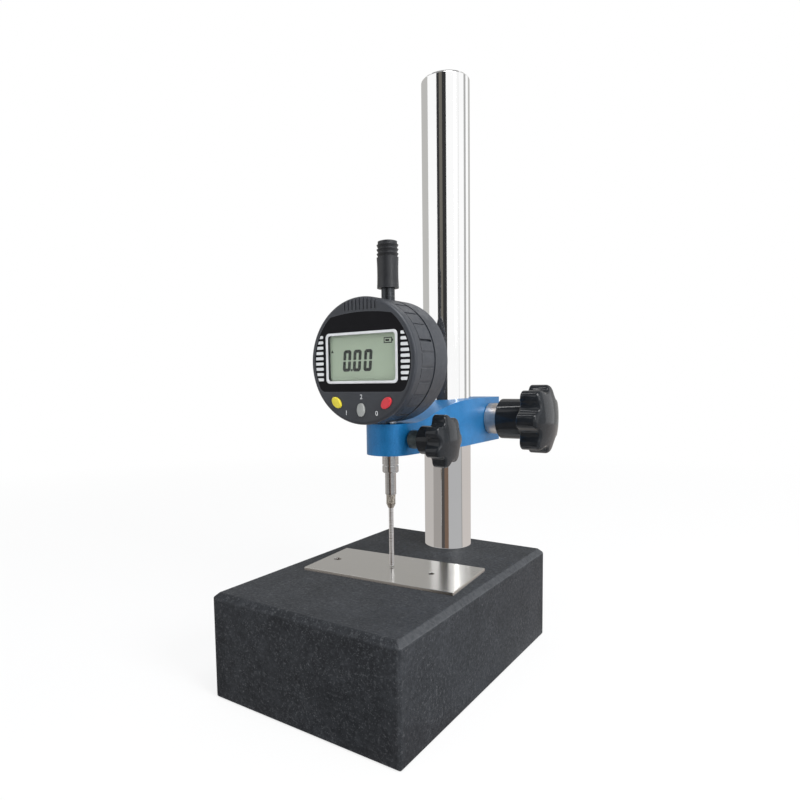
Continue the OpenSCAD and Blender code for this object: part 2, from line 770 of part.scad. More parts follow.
module guide_pin() color("#dadada")
    along_x(spindle_d/2 + 0.3, stem_y, carrier_z + carrier_h/2)
        cylinder(h = rail_x + 2.4 - spindle_d/2 - 0.3, r = pin_r);

// A coil swept along a helix, with a six-sided section
module return_spring() {
    z0 = carrier_top + spring_wire + 0.05;
    rise = top_boss_z - carrier_top - 2*spring_wire - 0.1;
    steps = 12*spring_turns;
    sides = 6;
    function coil(i, k) = let(
            a = 360*spring_turns*i/steps,
            q = 360*k/sides,
            r = spring_r + spring_wire*cos(q))
        [r*cos(a), r*sin(a), rise*i/steps + spring_wire*sin(q)];
    points = [for (i = [0:steps], k = [0:sides - 1]) coil(i, k)];
    color("#aeb0b3") on_stem(z0) polyhedron(points, concat(
        [for (i = [0:steps - 1], k = [0:sides - 1]) let(j = (k + 1) % sides)
            [i*sides + k, i*sides + j, (i + 1)*sides + j, (i + 1)*sides + k]],
        [[for (k = [sides - 1:-1:0]) k]],
        [[for (k = [0:sides - 1]) steps*sides + k]]));
}

// The cap: three sharp grip ridges over a barrel that is slightly waisted
module lifting_cap() color("#33353a") on_stem(cap_z) difference() {
    r = cap_d/2;
    barrel = cap_h*0.635;
    waist = 0.2;
    waist_r = (barrel*barrel/4 + waist*waist)/(2*waist);
    ridge = 2.05;
    neck_r = r - 0.6;       // between the ridges
    dome_r = 14;
    rotate_extrude() {
        difference() {
            square([r, barrel]);
            translate([r - waist + waist_r, barrel/2]) circle(waist_r, $fn = 360);
        }
        for (i = [0:2])
            translate([0, barrel + i*ridge]) polygon([[0, 0], [neck_r, 0], [neck_r, 0.5],
                [r, ridge - 0.3], [neck_r, ridge], [0, ridge]]);
        intersection() {
            translate([0, barrel + 3*ridge - eps]) square([neck_r, r]);
            translate([0, cap_h - dome_r]) circle(dome_r, $fn = 360);
        }
    }
    translate([0, 0, -1]) cylinder(h = cap_h - cap_solid + 1, r = neck_d/2 + 0.25);
    cylinder(h = cap_h - cap_solid + 3.5, r = rod_d/2 + thread_gap);
}

module contact_holder() color("#b4aea4") on_stem(holder_z) difference() {
    union() {
        cylinder(h = holder_cone, r1 = needle_d/2 + 0.25, r2 = holder_d/2);
        translate([0, 0, holder_cone])
            cylinder(h = holder_l - holder_cone - holder_edge, r = holder_d/2);
        translate([0, 0, holder_l - holder_edge])
            cylinder(h = holder_edge, r1 = holder_d/2, r2 = holder_d/2 - holder_edge);
        cylinder(h = holder_l + holder_pin_l, r = holder_pin_r);
    }
    translate([0, 0, -1]) cylinder(h = needle_pin_l + 1.5, r = needle_pin_r + thread_gap);
}

module contact_needle() color("#c9cacc") on_stem(tip_z) {
    translate([0, 0, needle_d/2]) sphere(needle_d/2);
    translate([0, 0, needle_d/2]) cylinder(h = needle_l - needle_d/2, r = needle_d/2);
    translate([0, 0, needle_l - eps]) cylinder(h = needle_pin_l, r = needle_pin_r);
}

// Display housing and what it holds

module window2(w, h, r) translate([0, window_up]) box2(w, h, r);

// The glossy panel: a circle cut by a flat arch above and a line below
module panel2() {
    q = 3.5;
    arch_r = 95;
    zc = -panel_low + q;
    xc = sqrt(pow(panel_r - q, 2) - zc*zc);
    round_corner([xc, zc], q, -90, atan2(zc, xc))
        round_corner([-xc, zc], q, -180 - atan2(zc, xc), -90)
            intersection() {
                circle(panel_r, $fn = 180);
                translate([0, panel_top - arch_r]) circle(arch_r, $fn = 360);
                translate([-dial_r, -panel_low]) square([2*dial_r, 2*dial_r]);
            }
}

function button_place(i) = i == 0 ? [0, -preset_z] : [i*button_x, -button_z];

module buttons2(grow) for (i = [-1:1])
    translate(button_place(i)) rotate(-i*button_tilt) oval2(button_w/2 + grow, button_l/2 + grow);

module pads2() difference() {
    ring2(dial_r, pad_r - 0.3);
    for (k = [0:pad_count - 1]) rotate((k + 0.5)*360/pad_count)
        translate([0, -pad_gap/2]) square([2*dial_r, pad_gap]);
}

module at_port() rotate(port_angle) translate([dial_r, 0]) children();

module display_shell() color("#46484c") difference() {
    union() {
        turned() translate([0, face_y]) {
            square([dial_r - face_edge, display_depth]);
            translate([0, face_edge]) square([dial_r, ring_depth - face_edge - 0.4]);
            translate([dial_r - face_edge, face_edge]) circle(face_edge);
            translate([0, face_edge]) square([pad_r, display_depth - face_edge]);
        }
        slab(pads_y, pads_back) pads2();
    }
    difference() {
        disc(shell_r, face_in, display_back_y + 1);
        slab(face_in - 1, board_y) for (p = post_places) translate(p) circle(step_r);
        slab(face_in - 1, back_plate_y) for (p = post_places) translate(p) circle(post_r);
    }
    slab(face_y - 1, ledge_y) panel2();
    slab(face_y - 1, face_in + 1) window2(window_w, window_h, frame_corner - frame_w/2);
    slab(face_y - 1, face_in + 1) buttons2(seat);
    slab(face_y - 1, face_y + panel_t/2) for (k = [0:rib_count - 1])
        translate([(k - (rib_count - 1)/2)*rib_pitch - rib_w/2, panel_top + rib_w]) square([rib_w, dial_r]);
    slab(face_in + 8, display_back_y + 1) for (p = post_places) translate(p) circle(screw_r + 0.1);
    slab(port_y0 - seat, port_y1 + seat) at_port()
        translate([-port_bevel, -port_w/2 - 1.3]) square([3, port_w + 1.3 + seat]);
    slab(port_y0 + 2, port_y1 - 2) at_port() translate([-6, -port_w/2 + 1.2]) square([6, port_w - 2.4]);
    slab(tray_y - 0.15, tray_back + 0.15)
        translate([-dial_r - 1, -tray_half - 0.15]) square([tray_mouth, 2*tray_half + 0.3]);
}

module window_panel() color("#0d0e11") slab(face_y, ledge_y) difference() {
    panel2();
    window2(frame_out_w + 0.1, frame_out_h + 0.1, frame_corner);
}

module window_frame() color("#d9dbdd") slab(lens_y - frame_t, lens_y) difference() {
    window2(frame_out_w, frame_out_h, frame_corner);
    window2(window_w - 0.2, window_h - 0.2, frame_corner - frame_w/2);
}

module window_lens() color("#dfe6e6", 0.35)
    slab(lens_y, ledge_y) window2(frame_out_w - 2*lip, frame_out_h - 2*lip, frame_corner - lip);

module lcd_panel() color("#9aa892")
    slab(face_in, face_in + lcd_t) window2(window_w + 1.6, window_h + 1.8, 0);

module lcd_connectors() color("#d67b9a")
    slab(face_in + lcd_t, board_y) for (s = [-1, 1])
        translate([0, window_up + s*(window_h/2 - 0.1)]) square([window_w - 2, connector_w], center = true);

module main_board() color("#1f5a3a") slab(board_y, board_back) difference() {
    circle(shell_r - 0.6);
    for (p = post_places) translate(p) circle(post_r + seat);
}

module key_switches() color("#b8b9bb") for (i = [-1:1]) {
    slab(board_y - switch_h, board_y) translate(button_place(i)) square(switch_w, center = true);
    slab(board_y - switch_h - switch_tip, board_y - switch_h + eps)
        translate(button_place(i)) circle(switch_w/4);
}

module battery_contacts() color("#c2a14d") {
    slab(board_back, tray_y - seat) translate([cell_x + 3, -contact_w/2]) square([3, contact_w]);
    slab(board_back, tray_y - seat) translate([cell_x - 1, -contact_w/2]) square([1.5, contact_w]);
}

module display_back() color("#303236") difference() {
    disc(shell_r - seat, back_plate_y, display_back_y);
    disc(hub_d/2 + slide_fit, back_plate_y - 1, display_back_y + 1);
    for (p = post_places) translate([p[0], display_back_y, dial_z + p[1]])
        rotate([-90, 0, 0]) screw_hole(back_plate_t);
}

module display_screws() color("#8d8f92")
    for (p = post_places) translate([p[0], display_back_y - 0.1, dial_z + p[1]])
        rotate([-90, 0, 0]) screw_countersunk(back_plate_t + back_thread);

module port_cover() color("#2b2d30") {
    slab(port_y0, port_y1) intersection() {
        ring2(dial_r, dial_r - 2);
        at_port() translate([-port_bevel + 0.02, -port_w/2]) square([3, port_w]);
    }
    slab(port_y0 + 2.1, port_y1 - 2.1) at_port()
        translate([-3, -port_w/2 + 1.3]) square([1.7, port_w - 2.6]);
}

module battery_tray() color("#3f4145") difference() {
    slab(tray_y, tray_back) intersection() {
        circle(pad_r);
        translate([-dial_r - 1, -tray_half]) square([dial_r + 1 + tray_end, 2*tray_half]);
    }
    slab(tray_y - 1, tray_back - tray_floor) translate([cell_x, 0]) circle(cell_d/2 + seat);
    slab(tray_y + 1.4, tray_back - 1.4) translate([-pad_r - 0.4, 0]) square([2.2, 9], center = true);
}

module coin_cell() color("#c7c8ca")
    slab(tray_back - tray_floor - cell_t, tray_back - tray_floor) translate([cell_x, 0]) circle(cell_d/2);

// Button i: a cap through the face, a flange behind it and a plunger
module push_button(i) {
    slab(face_y - button_out, face_in + seat + eps)
        translate(button_place(i)) rotate(-i*button_tilt) oval2(button_w/2, button_l/2);
    slab(face_in + seat, face_in + seat + flange_t)
        translate(button_place(i)) rotate(-i*button_tilt)
            oval2(button_w/2 + flange_w, button_l/2 + flange_w);
    slab(face_in + seat, board_y - switch_h - switch_tip - button_travel - seat)
        translate(button_place(i)) circle(plunger_r);
}

module unit_button() color("#e4d44a") push_button(-1);
module preset_button() color("#9a9c98") push_button(0);
module zero_button() color("#cf3a45") push_button(1);

granite_base();
column_bolt();
column_washer();
column();
gauge_plate();
support_arm();
column_clamp_collar();
column_clamp_screw();
column_clamp_knob();
stem_clamp_pad();
stem_clamp_screw();
stem_clamp_collar();
stem_clamp_knob();
stem();
stem_bush();
indicator_body();
rear_cover();
rear_cover_screws();
neck_tube();
guide_rail();
reader_board();
retaining_ring();
spindle();
scale_carrier();
scale_strip();
guide_pin();
return_spring();
lifting_cap();
contact_holder();
contact_needle();
display_shell();
window_panel();
window_frame();
window_lens();
lcd_panel();
lcd_connectors();
main_board();
key_switches();
battery_contacts();
display_back();
display_screws();
port_cover();
battery_tray();
coin_cell();
unit_button();
preset_button();
zero_button();
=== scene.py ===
from math import atan2, ceil, cos, pi, radians, sin, sqrt, tan

import bmesh
import bpy
from mathutils import Matrix, Vector


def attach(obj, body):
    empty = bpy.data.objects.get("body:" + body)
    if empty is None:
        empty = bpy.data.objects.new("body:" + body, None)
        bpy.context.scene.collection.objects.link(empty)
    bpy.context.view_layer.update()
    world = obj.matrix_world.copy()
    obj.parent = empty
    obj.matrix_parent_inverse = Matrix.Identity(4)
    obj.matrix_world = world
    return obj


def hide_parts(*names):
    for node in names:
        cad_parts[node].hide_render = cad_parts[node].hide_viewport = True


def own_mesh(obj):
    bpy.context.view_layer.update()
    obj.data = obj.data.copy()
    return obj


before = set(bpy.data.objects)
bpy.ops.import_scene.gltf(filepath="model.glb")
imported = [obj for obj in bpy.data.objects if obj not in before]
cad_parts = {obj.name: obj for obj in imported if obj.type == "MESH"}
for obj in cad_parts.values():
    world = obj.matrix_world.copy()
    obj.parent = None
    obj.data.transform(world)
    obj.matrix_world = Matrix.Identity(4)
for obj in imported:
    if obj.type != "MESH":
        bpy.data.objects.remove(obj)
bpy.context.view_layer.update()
scene = bpy.context.scene
scene.view_settings.view_transform = "Standard"

# The camera
# It stands to the right of the display, a little above it, and is turned 36 degrees to the left.
# The lens sits off the picture's middle, as in a photograph that was cropped.

MM = 0.001
camera_place = Vector((165.64, -256.78, 143.77)) * MM
camera_yaw, camera_pitch, camera_roll = radians(35.75), radians(4.94), radians(-1.02)
ahead = Vector((-sin(camera_yaw) * cos(camera_pitch), cos(camera_yaw) * cos(camera_pitch),
                -sin(camera_pitch)))
level = Vector((cos(camera_yaw), sin(camera_yaw), 0))
above = level.cross(ahead)
camera_right = level * cos(camera_roll) + above * sin(camera_roll)
camera_up = above * cos(camera_roll) - level * sin(camera_roll)


def placed(name, data):
    """A new object in the scene."""
    made = bpy.data.objects.new(name, data)
    scene.collection.objects.link(made)
    return made


lens = bpy.data.cameras.new("camera")
lens.sensor_width = 36
lens.lens = 27.976
lens.shift_x = 0.0486
lens.shift_y = 0.0411
lens.clip_start = 0.01
camera = placed("camera", lens)
camera.matrix_world = Matrix.Translation(camera_place) @ Matrix(
    (camera_right, camera_up, -ahead)).transposed().to_4x4()
scene.camera = camera

# The studio
# A pale floor that fades into a white room, and four soft lamps: from the front left, from the right,
# from behind on the right and from above. Polished metal mirrors only the one above.


def add(tree, kind, inputs=None, **settings):
    """A node of this kind; an input takes a plain value or another node's socket."""
    made = tree.nodes.new(kind)
    for name, value in settings.items():
        setattr(made, name, value)
    for name, value in (inputs or {}).items():
        if isinstance(value, bpy.types.NodeSocket):
            tree.links.new(value, made.inputs[name])
        else:
            made.inputs[name].default_value = value
    return made


def math(tree, operation, a, b=0.0, c=0.0, clamp=False):
    """The value of a Math node."""
    made = add(tree, "ShaderNodeMath", {0: a, 1: b, 2: c}, operation=operation, use_clamp=clamp)
    return made.outputs[0]


def blank(owner):
    """The emptied node tree of a new material or world."""
    owner.use_nodes = True
    owner.node_tree.nodes.clear()
    return owner.node_tree


def white_for_rays(tree):
    """1 for what the camera sees directly, mirrored or through glass."""
    path = add(tree, "ShaderNodeLightPath").outputs
    seen = math(tree, "MAXIMUM", path["Is Camera Ray"], path["Is Glossy Ray"])
    return math(tree, "MAXIMUM", seen, path["Is Transmission Ray"])


room = bpy.data.worlds.new("room")
tree = blank(room)
soft = add(tree, "ShaderNodeBackground", {"Color": (0.94, 0.965, 1, 1), "Strength": 0.5})
white = add(tree, "ShaderNodeBackground", {"Color": (1, 1, 1, 1), "Strength": 1.0})
mixed = add(tree, "ShaderNodeMixShader", {
    0: white_for_rays(tree), 1: soft.outputs[0], 2: white.outputs[0]})
add(tree, "ShaderNodeOutputWorld", {"Surface": mixed.outputs[0]})
scene.world = room


def sheet_mesh(name, corners, faces):
    """An object of these corners and faces."""
    mesh = bpy.data.meshes.new(name)
    mesh.from_pydata([Vector(c) for c in corners], [], faces)
    return placed(name, mesh)


reach = 4
floor = sheet_mesh("floor", [(-reach, -reach, 0), (reach, -reach, 0), (reach, reach, 0), (-reach, reach, 0)],
                   [(0, 1, 2, 3)])
paper = bpy.data.materials.new("floor_paper")
tree = blank(paper)
here = add(tree, "ShaderNodeTexCoord").outputs["Object"]
distance = add(tree, "ShaderNodeVectorMath", {0: here}, operation="LENGTH").outputs["Value"]
far = add(tree, "ShaderNodeMapRange", {"Value": distance, "From Min": 0.15, "From Max": 0.9,
                                       "To Min": 0.82, "To Max": 1.0}).outputs[0]
matt = add(tree, "ShaderNodeBsdfDiffuse", {"Color": (0.86, 0.86, 0.86, 1)})
glow = add(tree, "ShaderNodeEmission", {"Color": (1, 1, 1, 1), "Strength": 1.0})
share = math(tree, "MULTIPLY", far, white_for_rays(tree))
mixed = add(tree, "ShaderNodeMixShader", {0: share, 1: matt.outputs[0], 2: glow.outputs[0]})
add(tree, "ShaderNodeOutputMaterial", {"Surface": mixed.outputs[0]})
floor.data.materials.append(paper)


def lamp(name, place, aim_high, size, watts, mirrored):
    """A soft rectangular lamp that looks at a height over the origin; metal need not mirror it."""
    data = bpy.data.lights.new(name, "AREA")
    data.shape = "RECTANGLE"
    data.size, data.size_y = size
    data.energy = watts
    made = placed(name, data)
    way = Vector((0, 0, aim_high)) - Vector(place)
    made.matrix_world = Matrix.Translation(place) @ way.to_track_quat("-Z", "Y").to_matrix().to_4x4()
    made.visible_glossy = mirrored


lamp("key_lamp", (-0.35, -0.75, 0.9), aim_high=0.12, size=(0.6, 0.5), watts=1.2, mirrored=False)
lamp("side_lamp", (0.95, -0.2, 0.5), aim_high=0.12, size=(0.4, 0.6), watts=8.5, mirrored=False)
lamp("rim_lamp", (0.8, 1.0, 0.35), aim_high=0.12, size=(0.5, 0.6), watts=3.5, mirrored=False)
lamp("top_lamp", (0.35, -0.25, 1.1), aim_high=0.05, size=(0.5, 0.5), watts=6.2, mirrored=True)

# Cards for the polished metal
# Dark, brown and grey cards stand and lie round the column under a grey ceiling, with one bright strip
# on the right. Only reflections see them, so they give metal its stripes and light nothing.

card_centre = Vector((0, 0.057, 0))
wall_far, wall_high = 1.2, 1.4
floor_near, floor_high = 0.06, 0.001
ceiling_far, strip_low = 1.0, 0.25
card_step = 3
black_card, brown_card, grey_card = (0.035, 0.035, 0.036), (0.15, 0.14, 0.12), (0.42, 0.42, 0.415)
pale_card, line_card = (0.50, 0.495, 0.48), (0.66, 0.66, 0.65)
wall = ((wall_far, 0.0), (wall_far, wall_high))
ground = ((floor_near, floor_high), (wall_far, floor_high))
ceiling = ((0.0, wall_high), (ceiling_far, wall_high))
strip = ((wall_far, strip_low), (wall_far, wall_high))
cards = (("dark_left", wall, -104.9, -92.7, black_card),
         ("brown_middle", wall, -92.7, -78.4, brown_card),
         ("dark_right", wall, -78.4, -59.9, black_card),
         ("thin_line", wall, -1.2, 0.7, line_card),
         ("grey_right", wall, 32.8, 47.6, grey_card),
         ("pale_back", wall, 71.6, 204.5, pale_card),
         ("ground_cool", ground, -58, 9, (0.44, 0.44, 0.445)),
         ("ground_line", ground, 9, 13, (0.30, 0.29, 0.28)),
         ("ground_warm", ground, 13, 94, (0.57, 0.53, 0.505)),
         ("ground_far", ground, 94, 224, (0.50, 0.475, 0.455)),
         ("ground_left", ground, -136, -92, (0.34, 0.32, 0.305)),
         ("ground_black", ground, -92, -77, (0.075, 0.07, 0.068)),
         ("ground_brown", ground, -77, -58, (0.17, 0.115, 0.085)),
         ("ceiling", ceiling, 0, 360, (0.30, 0.30, 0.30)),
         ("strip_right", strip, -21, -14, (7.0, 7.0, 7.0)))
for name, (start, end), first, last, colour in cards:
    steps = ceil((last - first) / card_step)
    corners = []
    for step in range(steps + 1):
        turn = radians(first + (last - first) * step / steps)
        for out, up in (start, end):
            corners.append(card_centre + Vector((out * cos(turn), out * sin(turn), up)))
    faces = [(2 * i, 2 * i + 2, 2 * i + 3, 2 * i + 1) for i in range(steps)]
    card = sheet_mesh("card_" + name, corners, faces)
    shade = bpy.data.materials.new("card_" + name)
    tree = blank(shade)
    shade.cycles.emission_sampling = "NONE"
    glow = add(tree, "ShaderNodeEmission", {"Color": (*colour, 1), "Strength": 1.0})
    add(tree, "ShaderNodeOutputMaterial", {"Surface": glow.outputs[0]})
    card.data.materials.append(shade)
    card.visible_camera = card.visible_diffuse = card.visible_transmission = False
    card.visible_volume_scatter = card.visible_shadow = False

# Granite base
# A sawn block of dark granite with ground chamfers and a lapped top. Painted light makes the top and
# the left and right chamfers a little paler than its sides. Fine pale grains show all over, closer in some
# patches.


def surface(name, **values):
    """A material with one Principled shader, its tree and shader; names have _ for a space."""
    made = bpy.data.materials.new(name)
    made.use_nodes = True
    shader = made.node_tree.nodes["Principled BSDF"]
    for key, value in values.items():
        shader.inputs[key.replace("_", " ")].default_value = value
    return made, made.node_tree, shader


def node_group(name, inputs, outputs, kind="ShaderNodeTree"):
    """An empty group; inputs are name: (socket type, value), outputs are name: socket type."""
    made = bpy.data.node_groups.new(name, kind)
    for key, (socket, value) in inputs.items():
        came = made.interface.new_socket(key, in_out="INPUT", socket_type=socket)
        if value is not None:
            came.default_value = value
    for key, socket in outputs.items():
        made.interface.new_socket(key, in_out="OUTPUT", socket_type=socket)
    return made, made.nodes.new("NodeGroupInput").outputs, made.nodes.new("NodeGroupOutput").inputs


def use(tree, group, **values):
    """A placed group's outputs; a value may be a plain value or a socket."""
    made = tree.nodes.new("ShaderNodeGroup")
    made.node_tree = group
    for key, value in values.items():
        key = key.replace("_", " ")
        if isinstance(value, bpy.types.NodeSocket):
            tree.links.new(value, made.inputs[key])
        else:
            made.inputs[key].default_value = value
    return made.outputs


def blend(tree, share, a, b):
    """A colour between a and b."""
    mixed = tree.nodes.new("ShaderNodeMix")
    mixed.data_type = "RGBA"
    for socket, value in ((mixed.inputs[0], share), (mixed.inputs[6], a), (mixed.inputs[7], b)):
        if isinstance(value, bpy.types.NodeSocket):
            tree.links.new(value, socket)
        else:
            socket.default_value = value if isinstance(value, float) else (*value, 1)
    return mixed.outputs[2]


def feed(tree, shader, tone, rough=None):
    """The shader gets this tone, and a roughness that rough gives as group, scale, low and high."""
    tree.links.new(tone, shader.inputs["Base Color"])
    if rough:
        group, scale, low, high = rough
        varied = use(tree, group, Scale=scale, Low=low, High=high)["Value"]
        tree.links.new(varied, shader.inputs["Roughness"])


def bumped(tree, shader, height, strength, distance):
    """Raises the surface a little where the height is large."""
    bump = add(tree, "ShaderNodeBump", {"Height": height, "Strength": strength, "Distance": distance})
    tree.links.new(bump.outputs[0], shader.inputs["Normal"])


FLOAT, VECTOR = "NodeSocketFloat", "NodeSocketVector"

# grains: cells of which a share is coloured, as flakes of metal and crystals of stone are
grains, came, goes = node_group("grains", {
    "Scale": (FLOAT, 900), "Share": (FLOAT, 0.1), "Size": (FLOAT, 0.4)}, {"Mask": FLOAT, "Random": FLOAT})
here = add(grains, "ShaderNodeTexCoord").outputs["Object"]
cells = add(grains, "ShaderNodeTexVoronoi", {"Vector": here, "Scale": came["Scale"]})
parts = add(grains, "ShaderNodeSeparateColor", {"Color": cells.outputs["Color"]})
chosen = math(grains, "LESS_THAN", parts.outputs[0], came["Share"])
near = math(grains, "SUBTRACT", came["Size"], cells.outputs["Distance"])
near = math(grains, "MULTIPLY", near, 8.0, clamp=True)
grains.links.new(math(grains, "MULTIPLY", chosen, near), goes["Mask"])
grains.links.new(parts.outputs[1], goes["Random"])

# clouds: soft uneven patches, from handling, casting or rolling
clouds, came, goes = node_group("clouds", {
    "Scale": (FLOAT, 60), "Low": (FLOAT, 0.0), "High": (FLOAT, 1.0)}, {"Value": FLOAT})
here = add(clouds, "ShaderNodeTexCoord").outputs["Object"]
noise = add(clouds, "ShaderNodeTexNoise", {"Vector": here, "Scale": came["Scale"], "Detail": 4.0})
spread = add(clouds, "ShaderNodeMapRange", {"Value": noise.outputs[0], "From Min": 0.3, "From Max": 0.7,
                                            "To Min": came["Low"], "To Max": came["High"]})
clouds.links.new(spread.outputs[0], goes["Value"])

# flecks: ragged specks of crystal that stand closer in some patches than in others
flecks, came, goes = node_group("flecks", {
    "Scale": (FLOAT, 800), "Patch Scale": (FLOAT, 90), "Low": (FLOAT, 0.55), "High": (FLOAT, 0.66)},
    {"Mask": FLOAT})
here = add(flecks, "ShaderNodeTexCoord").outputs["Object"]
noise = add(flecks, "ShaderNodeTexNoise", {
    "Vector": here, "Scale": came["Scale"], "Detail": 3.0, "Roughness": 0.6})
speck = add(flecks, "ShaderNodeMapRange", {
    "Value": noise.outputs[0], "From Min": came["Low"], "From Max": came["High"]}).outputs[0]
noise = add(flecks, "ShaderNodeTexNoise", {"Vector": here, "Scale": came["Patch Scale"], "Detail": 2.0})
patch = add(flecks, "ShaderNodeMapRange", {
    "Value": noise.outputs[0], "From Min": 0.38, "From Max": 0.6, "To Min": 0.35}).outputs[0]
flecks.links.new(math(flecks, "MULTIPLY", speck, patch), goes["Mask"])

# edges: where two faces meet, so that paint thins and metal shines there
edges, came, goes = node_group("edges", {"Width": (FLOAT, 0.0004), "Ragged": (FLOAT, 0.5)}, {"Mask": FLOAT})
rounded = add(edges, "ShaderNodeBevel", {"Radius": came["Width"]}, samples=6).outputs[0]
flat = add(edges, "ShaderNodeNewGeometry").outputs["Normal"]
same = add(edges, "ShaderNodeVectorMath", {0: rounded, 1: flat}, operation="DOT_PRODUCT").outputs["Value"]
turned = math(edges, "MULTIPLY", math(edges, "SUBTRACT", 1.0, same), 9.0, clamp=True)
here = add(edges, "ShaderNodeTexCoord").outputs["Object"]
noise = add(edges, "ShaderNodeTexNoise", {"Vector": here, "Scale": 900.0, "Detail": 3.0}).outputs[0]
broken = math(edges, "SUBTRACT", 1.0, math(edges, "MULTIPLY", noise, came["Ragged"]))
edges.links.new(math(edges, "MULTIPLY", turned, broken), goes["Mask"])


def eased(node_name, body, radius, segments=3):
    """A copy of a CAD node whose edges are rounded, and which stands for that node."""
    weld, level_turn, sharp_turn = 2e-6, radians(0.3), radians(28)
    form = bmesh.new()
    form.from_mesh(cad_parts[node_name].data)
    bmesh.ops.remove_doubles(form, verts=form.verts, dist=weld)
    bmesh.ops.dissolve_limit(form, angle_limit=level_turn, verts=form.verts, edges=form.edges)
    corners = [tuple(v.co) for v in form.verts]
    faces = [[v.index for v in f.verts] for f in form.faces]
    form.free()
    piece = sheet_mesh(node_name + "_form", corners, faces)
    piece.data.shade_smooth()
    piece.data.set_sharp_from_angle(angle=sharp_turn)
    rim = piece.modifiers.new("rounded_edges", "BEVEL")
    rim.width = radius
    rim.segments = segments
    rim.limit_method = "ANGLE"
    rim.angle_limit = sharp_turn
    rim.harden_normals = True
    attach(piece, body)
    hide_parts(node_name)
    return piece


def finish(piece, material):
    """The piece gets this material and no other."""
    piece.data.materials.clear()
    piece.data.materials.append(material)


dark_stone, mid_stone, vein_stone = (0.022, 0.024, 0.0275), (0.037, 0.040, 0.0455), (0.010, 0.011, 0.013)
# painted light: the paler tones for the top and for the left and right chamfers stand in for the lamps' light
# on them
top_light_stone, chamfer_light_stone = (0.09, 0.095, 0.103), (0.078, 0.082, 0.088)
grain_stone, crystal_stone, pale_edge_stone = (0.058, 0.061, 0.066), (0.088, 0.092, 0.098), (0.12, 0.125, 0.13)
chamfer_from, chamfer_to, top_light_share = 0.3, 0.95, 0.12
stone, tree, shader = surface("lapped_granite", Roughness=0.5, Specular_IOR_Level=0.15)
tone = blend(tree, use(tree, clouds, Scale=60.0)["Value"], dark_stone, mid_stone)
tone = blend(tree, use(tree, clouds, Scale=420.0, High=0.6)["Value"], tone, vein_stone)
facing = add(tree, "ShaderNodeNewGeometry").outputs["True Normal"]
slope = add(tree, "ShaderNodeSeparateXYZ", {0: facing}).outputs
chamfer_light = math(tree, "MULTIPLY", math(tree, "GREATER_THAN", slope[2], chamfer_from),
               math(tree, "LESS_THAN", slope[2], chamfer_to))
# painted highlight: only chamfers that face left or right get paler, in patches; the front ones do not
chamfer_light = math(tree, "MULTIPLY", chamfer_light, math(tree, "ABSOLUTE", slope[0]))
# painted light: the top is a little paler than the sides
top_light = math(tree, "MULTIPLY", math(tree, "GREATER_THAN", slope[2], chamfer_to), top_light_share)
tone = blend(tree, top_light, tone, top_light_stone)
chamfer_light = math(tree, "MULTIPLY", chamfer_light, use(tree, clouds, Scale=500.0, Low=0.4)["Value"])
tone = blend(tree, chamfer_light, tone, chamfer_light_stone)
tone = blend(tree, use(tree, flecks, Scale=680.0)["Mask"], tone, grain_stone)
crystals = use(tree, flecks, Scale=1700.0, Patch_Scale=130.0, Low=0.6, High=0.68)["Mask"]
tone = blend(tree, crystals, tone, crystal_stone)
# the stone is paler along its edges
tone = blend(tree, use(tree, edges, Width=0.0012, Ragged=0.9)["Mask"], tone, pale_edge_stone)
feed(tree, shader, tone, rough=(clouds, 800.0, 0.48, 0.68))
bumped(tree, shader, use(tree, clouds, Scale=2400.0)["Value"], strength=0.12, distance=0.0002)
granite = eased("granite_base", "base", radius=0.0005, segments=2)
finish(granite, stone)
# the photograph shows plain stripes down to the column's foot, so the column doesn't mirror the granite
granite.visible_glossy = False

# Column bolt and washer
# A black socket-head screw and a zinc washer in the recess under the base. They pull the column
# down on the granite.


def patterned(name, group, scale, dark, pale, rough=None, worn=None, bump=None, **values):
    """A material that a group mottles between two colours. Worn is the width and colour of rubbed
    edges, bump the clouds' scale, strength and depth."""
    made, tree, shader = surface(name, **values)
    tone = blend(tree, use(tree, group, Scale=scale)["Value"], dark, pale)
    if worn:
        width, bare = worn
        tone = blend(tree, use(tree, edges, Width=width)["Mask"], tone, bare)
    feed(tree, shader, tone, rough)
    if bump:
        size, strength, depth = bump
        bumped(tree, shader, use(tree, clouds, Scale=size)["Value"], strength, depth)
    return made


def finish_nodes(material, *names):
    """These CAD nodes get this material and no other."""
    for name in names:
        finish(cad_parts[name], material)


black_oxide, tree, shader = surface("black_oxide", Metallic=0.6, Roughness=0.45)
tone = blend(tree, use(tree, edges, Width=0.0004)["Mask"], (0.035, 0.035, 0.038), (0.22, 0.22, 0.23))
feed(tree, shader, tone, rough=(clouds, 300.0, 0.35, 0.55))
zinc = patterned("zinc_plate", clouds, 250.0, (0.50, 0.51, 0.53), (0.68, 0.69, 0.70),
                 rough=(clouds, 900.0, 0.25, 0.45), Metallic=1.0, Roughness=0.35)
finish_nodes(black_oxide, "column_bolt")
finish_nodes(zinc, "column_washer")

# Column
# A solid bar, ground round, hard chromed and polished, with a chamfer at the top. The grinding
# leaves very fine rings that blur its reflections a little.

# lines: fine streaks that run across the direction with the largest scale
lines, came, goes = node_group("lines", {
    "Scale": (VECTOR, (1, 1, 6000)), "Low": (FLOAT, 0.0), "High": (FLOAT, 1.0)}, {"Value": FLOAT})
here = add(lines, "ShaderNodeTexCoord").outputs["Object"]
drawn = add(lines, "ShaderNodeVectorMath", {0: here, 1: came["Scale"]}, operation="MULTIPLY").outputs[0]
noise = add(lines, "ShaderNodeTexNoise", {"Vector": drawn, "Scale": 1.0, "Detail": 3.0})
spread = add(lines, "ShaderNodeMapRange", {"Value": noise.outputs[0], "From Min": 0.3, "From Max": 0.7,
                                           "To Min": came["Low"], "To Max": came["High"]})
lines.links.new(spread.outputs[0], goes["Value"])

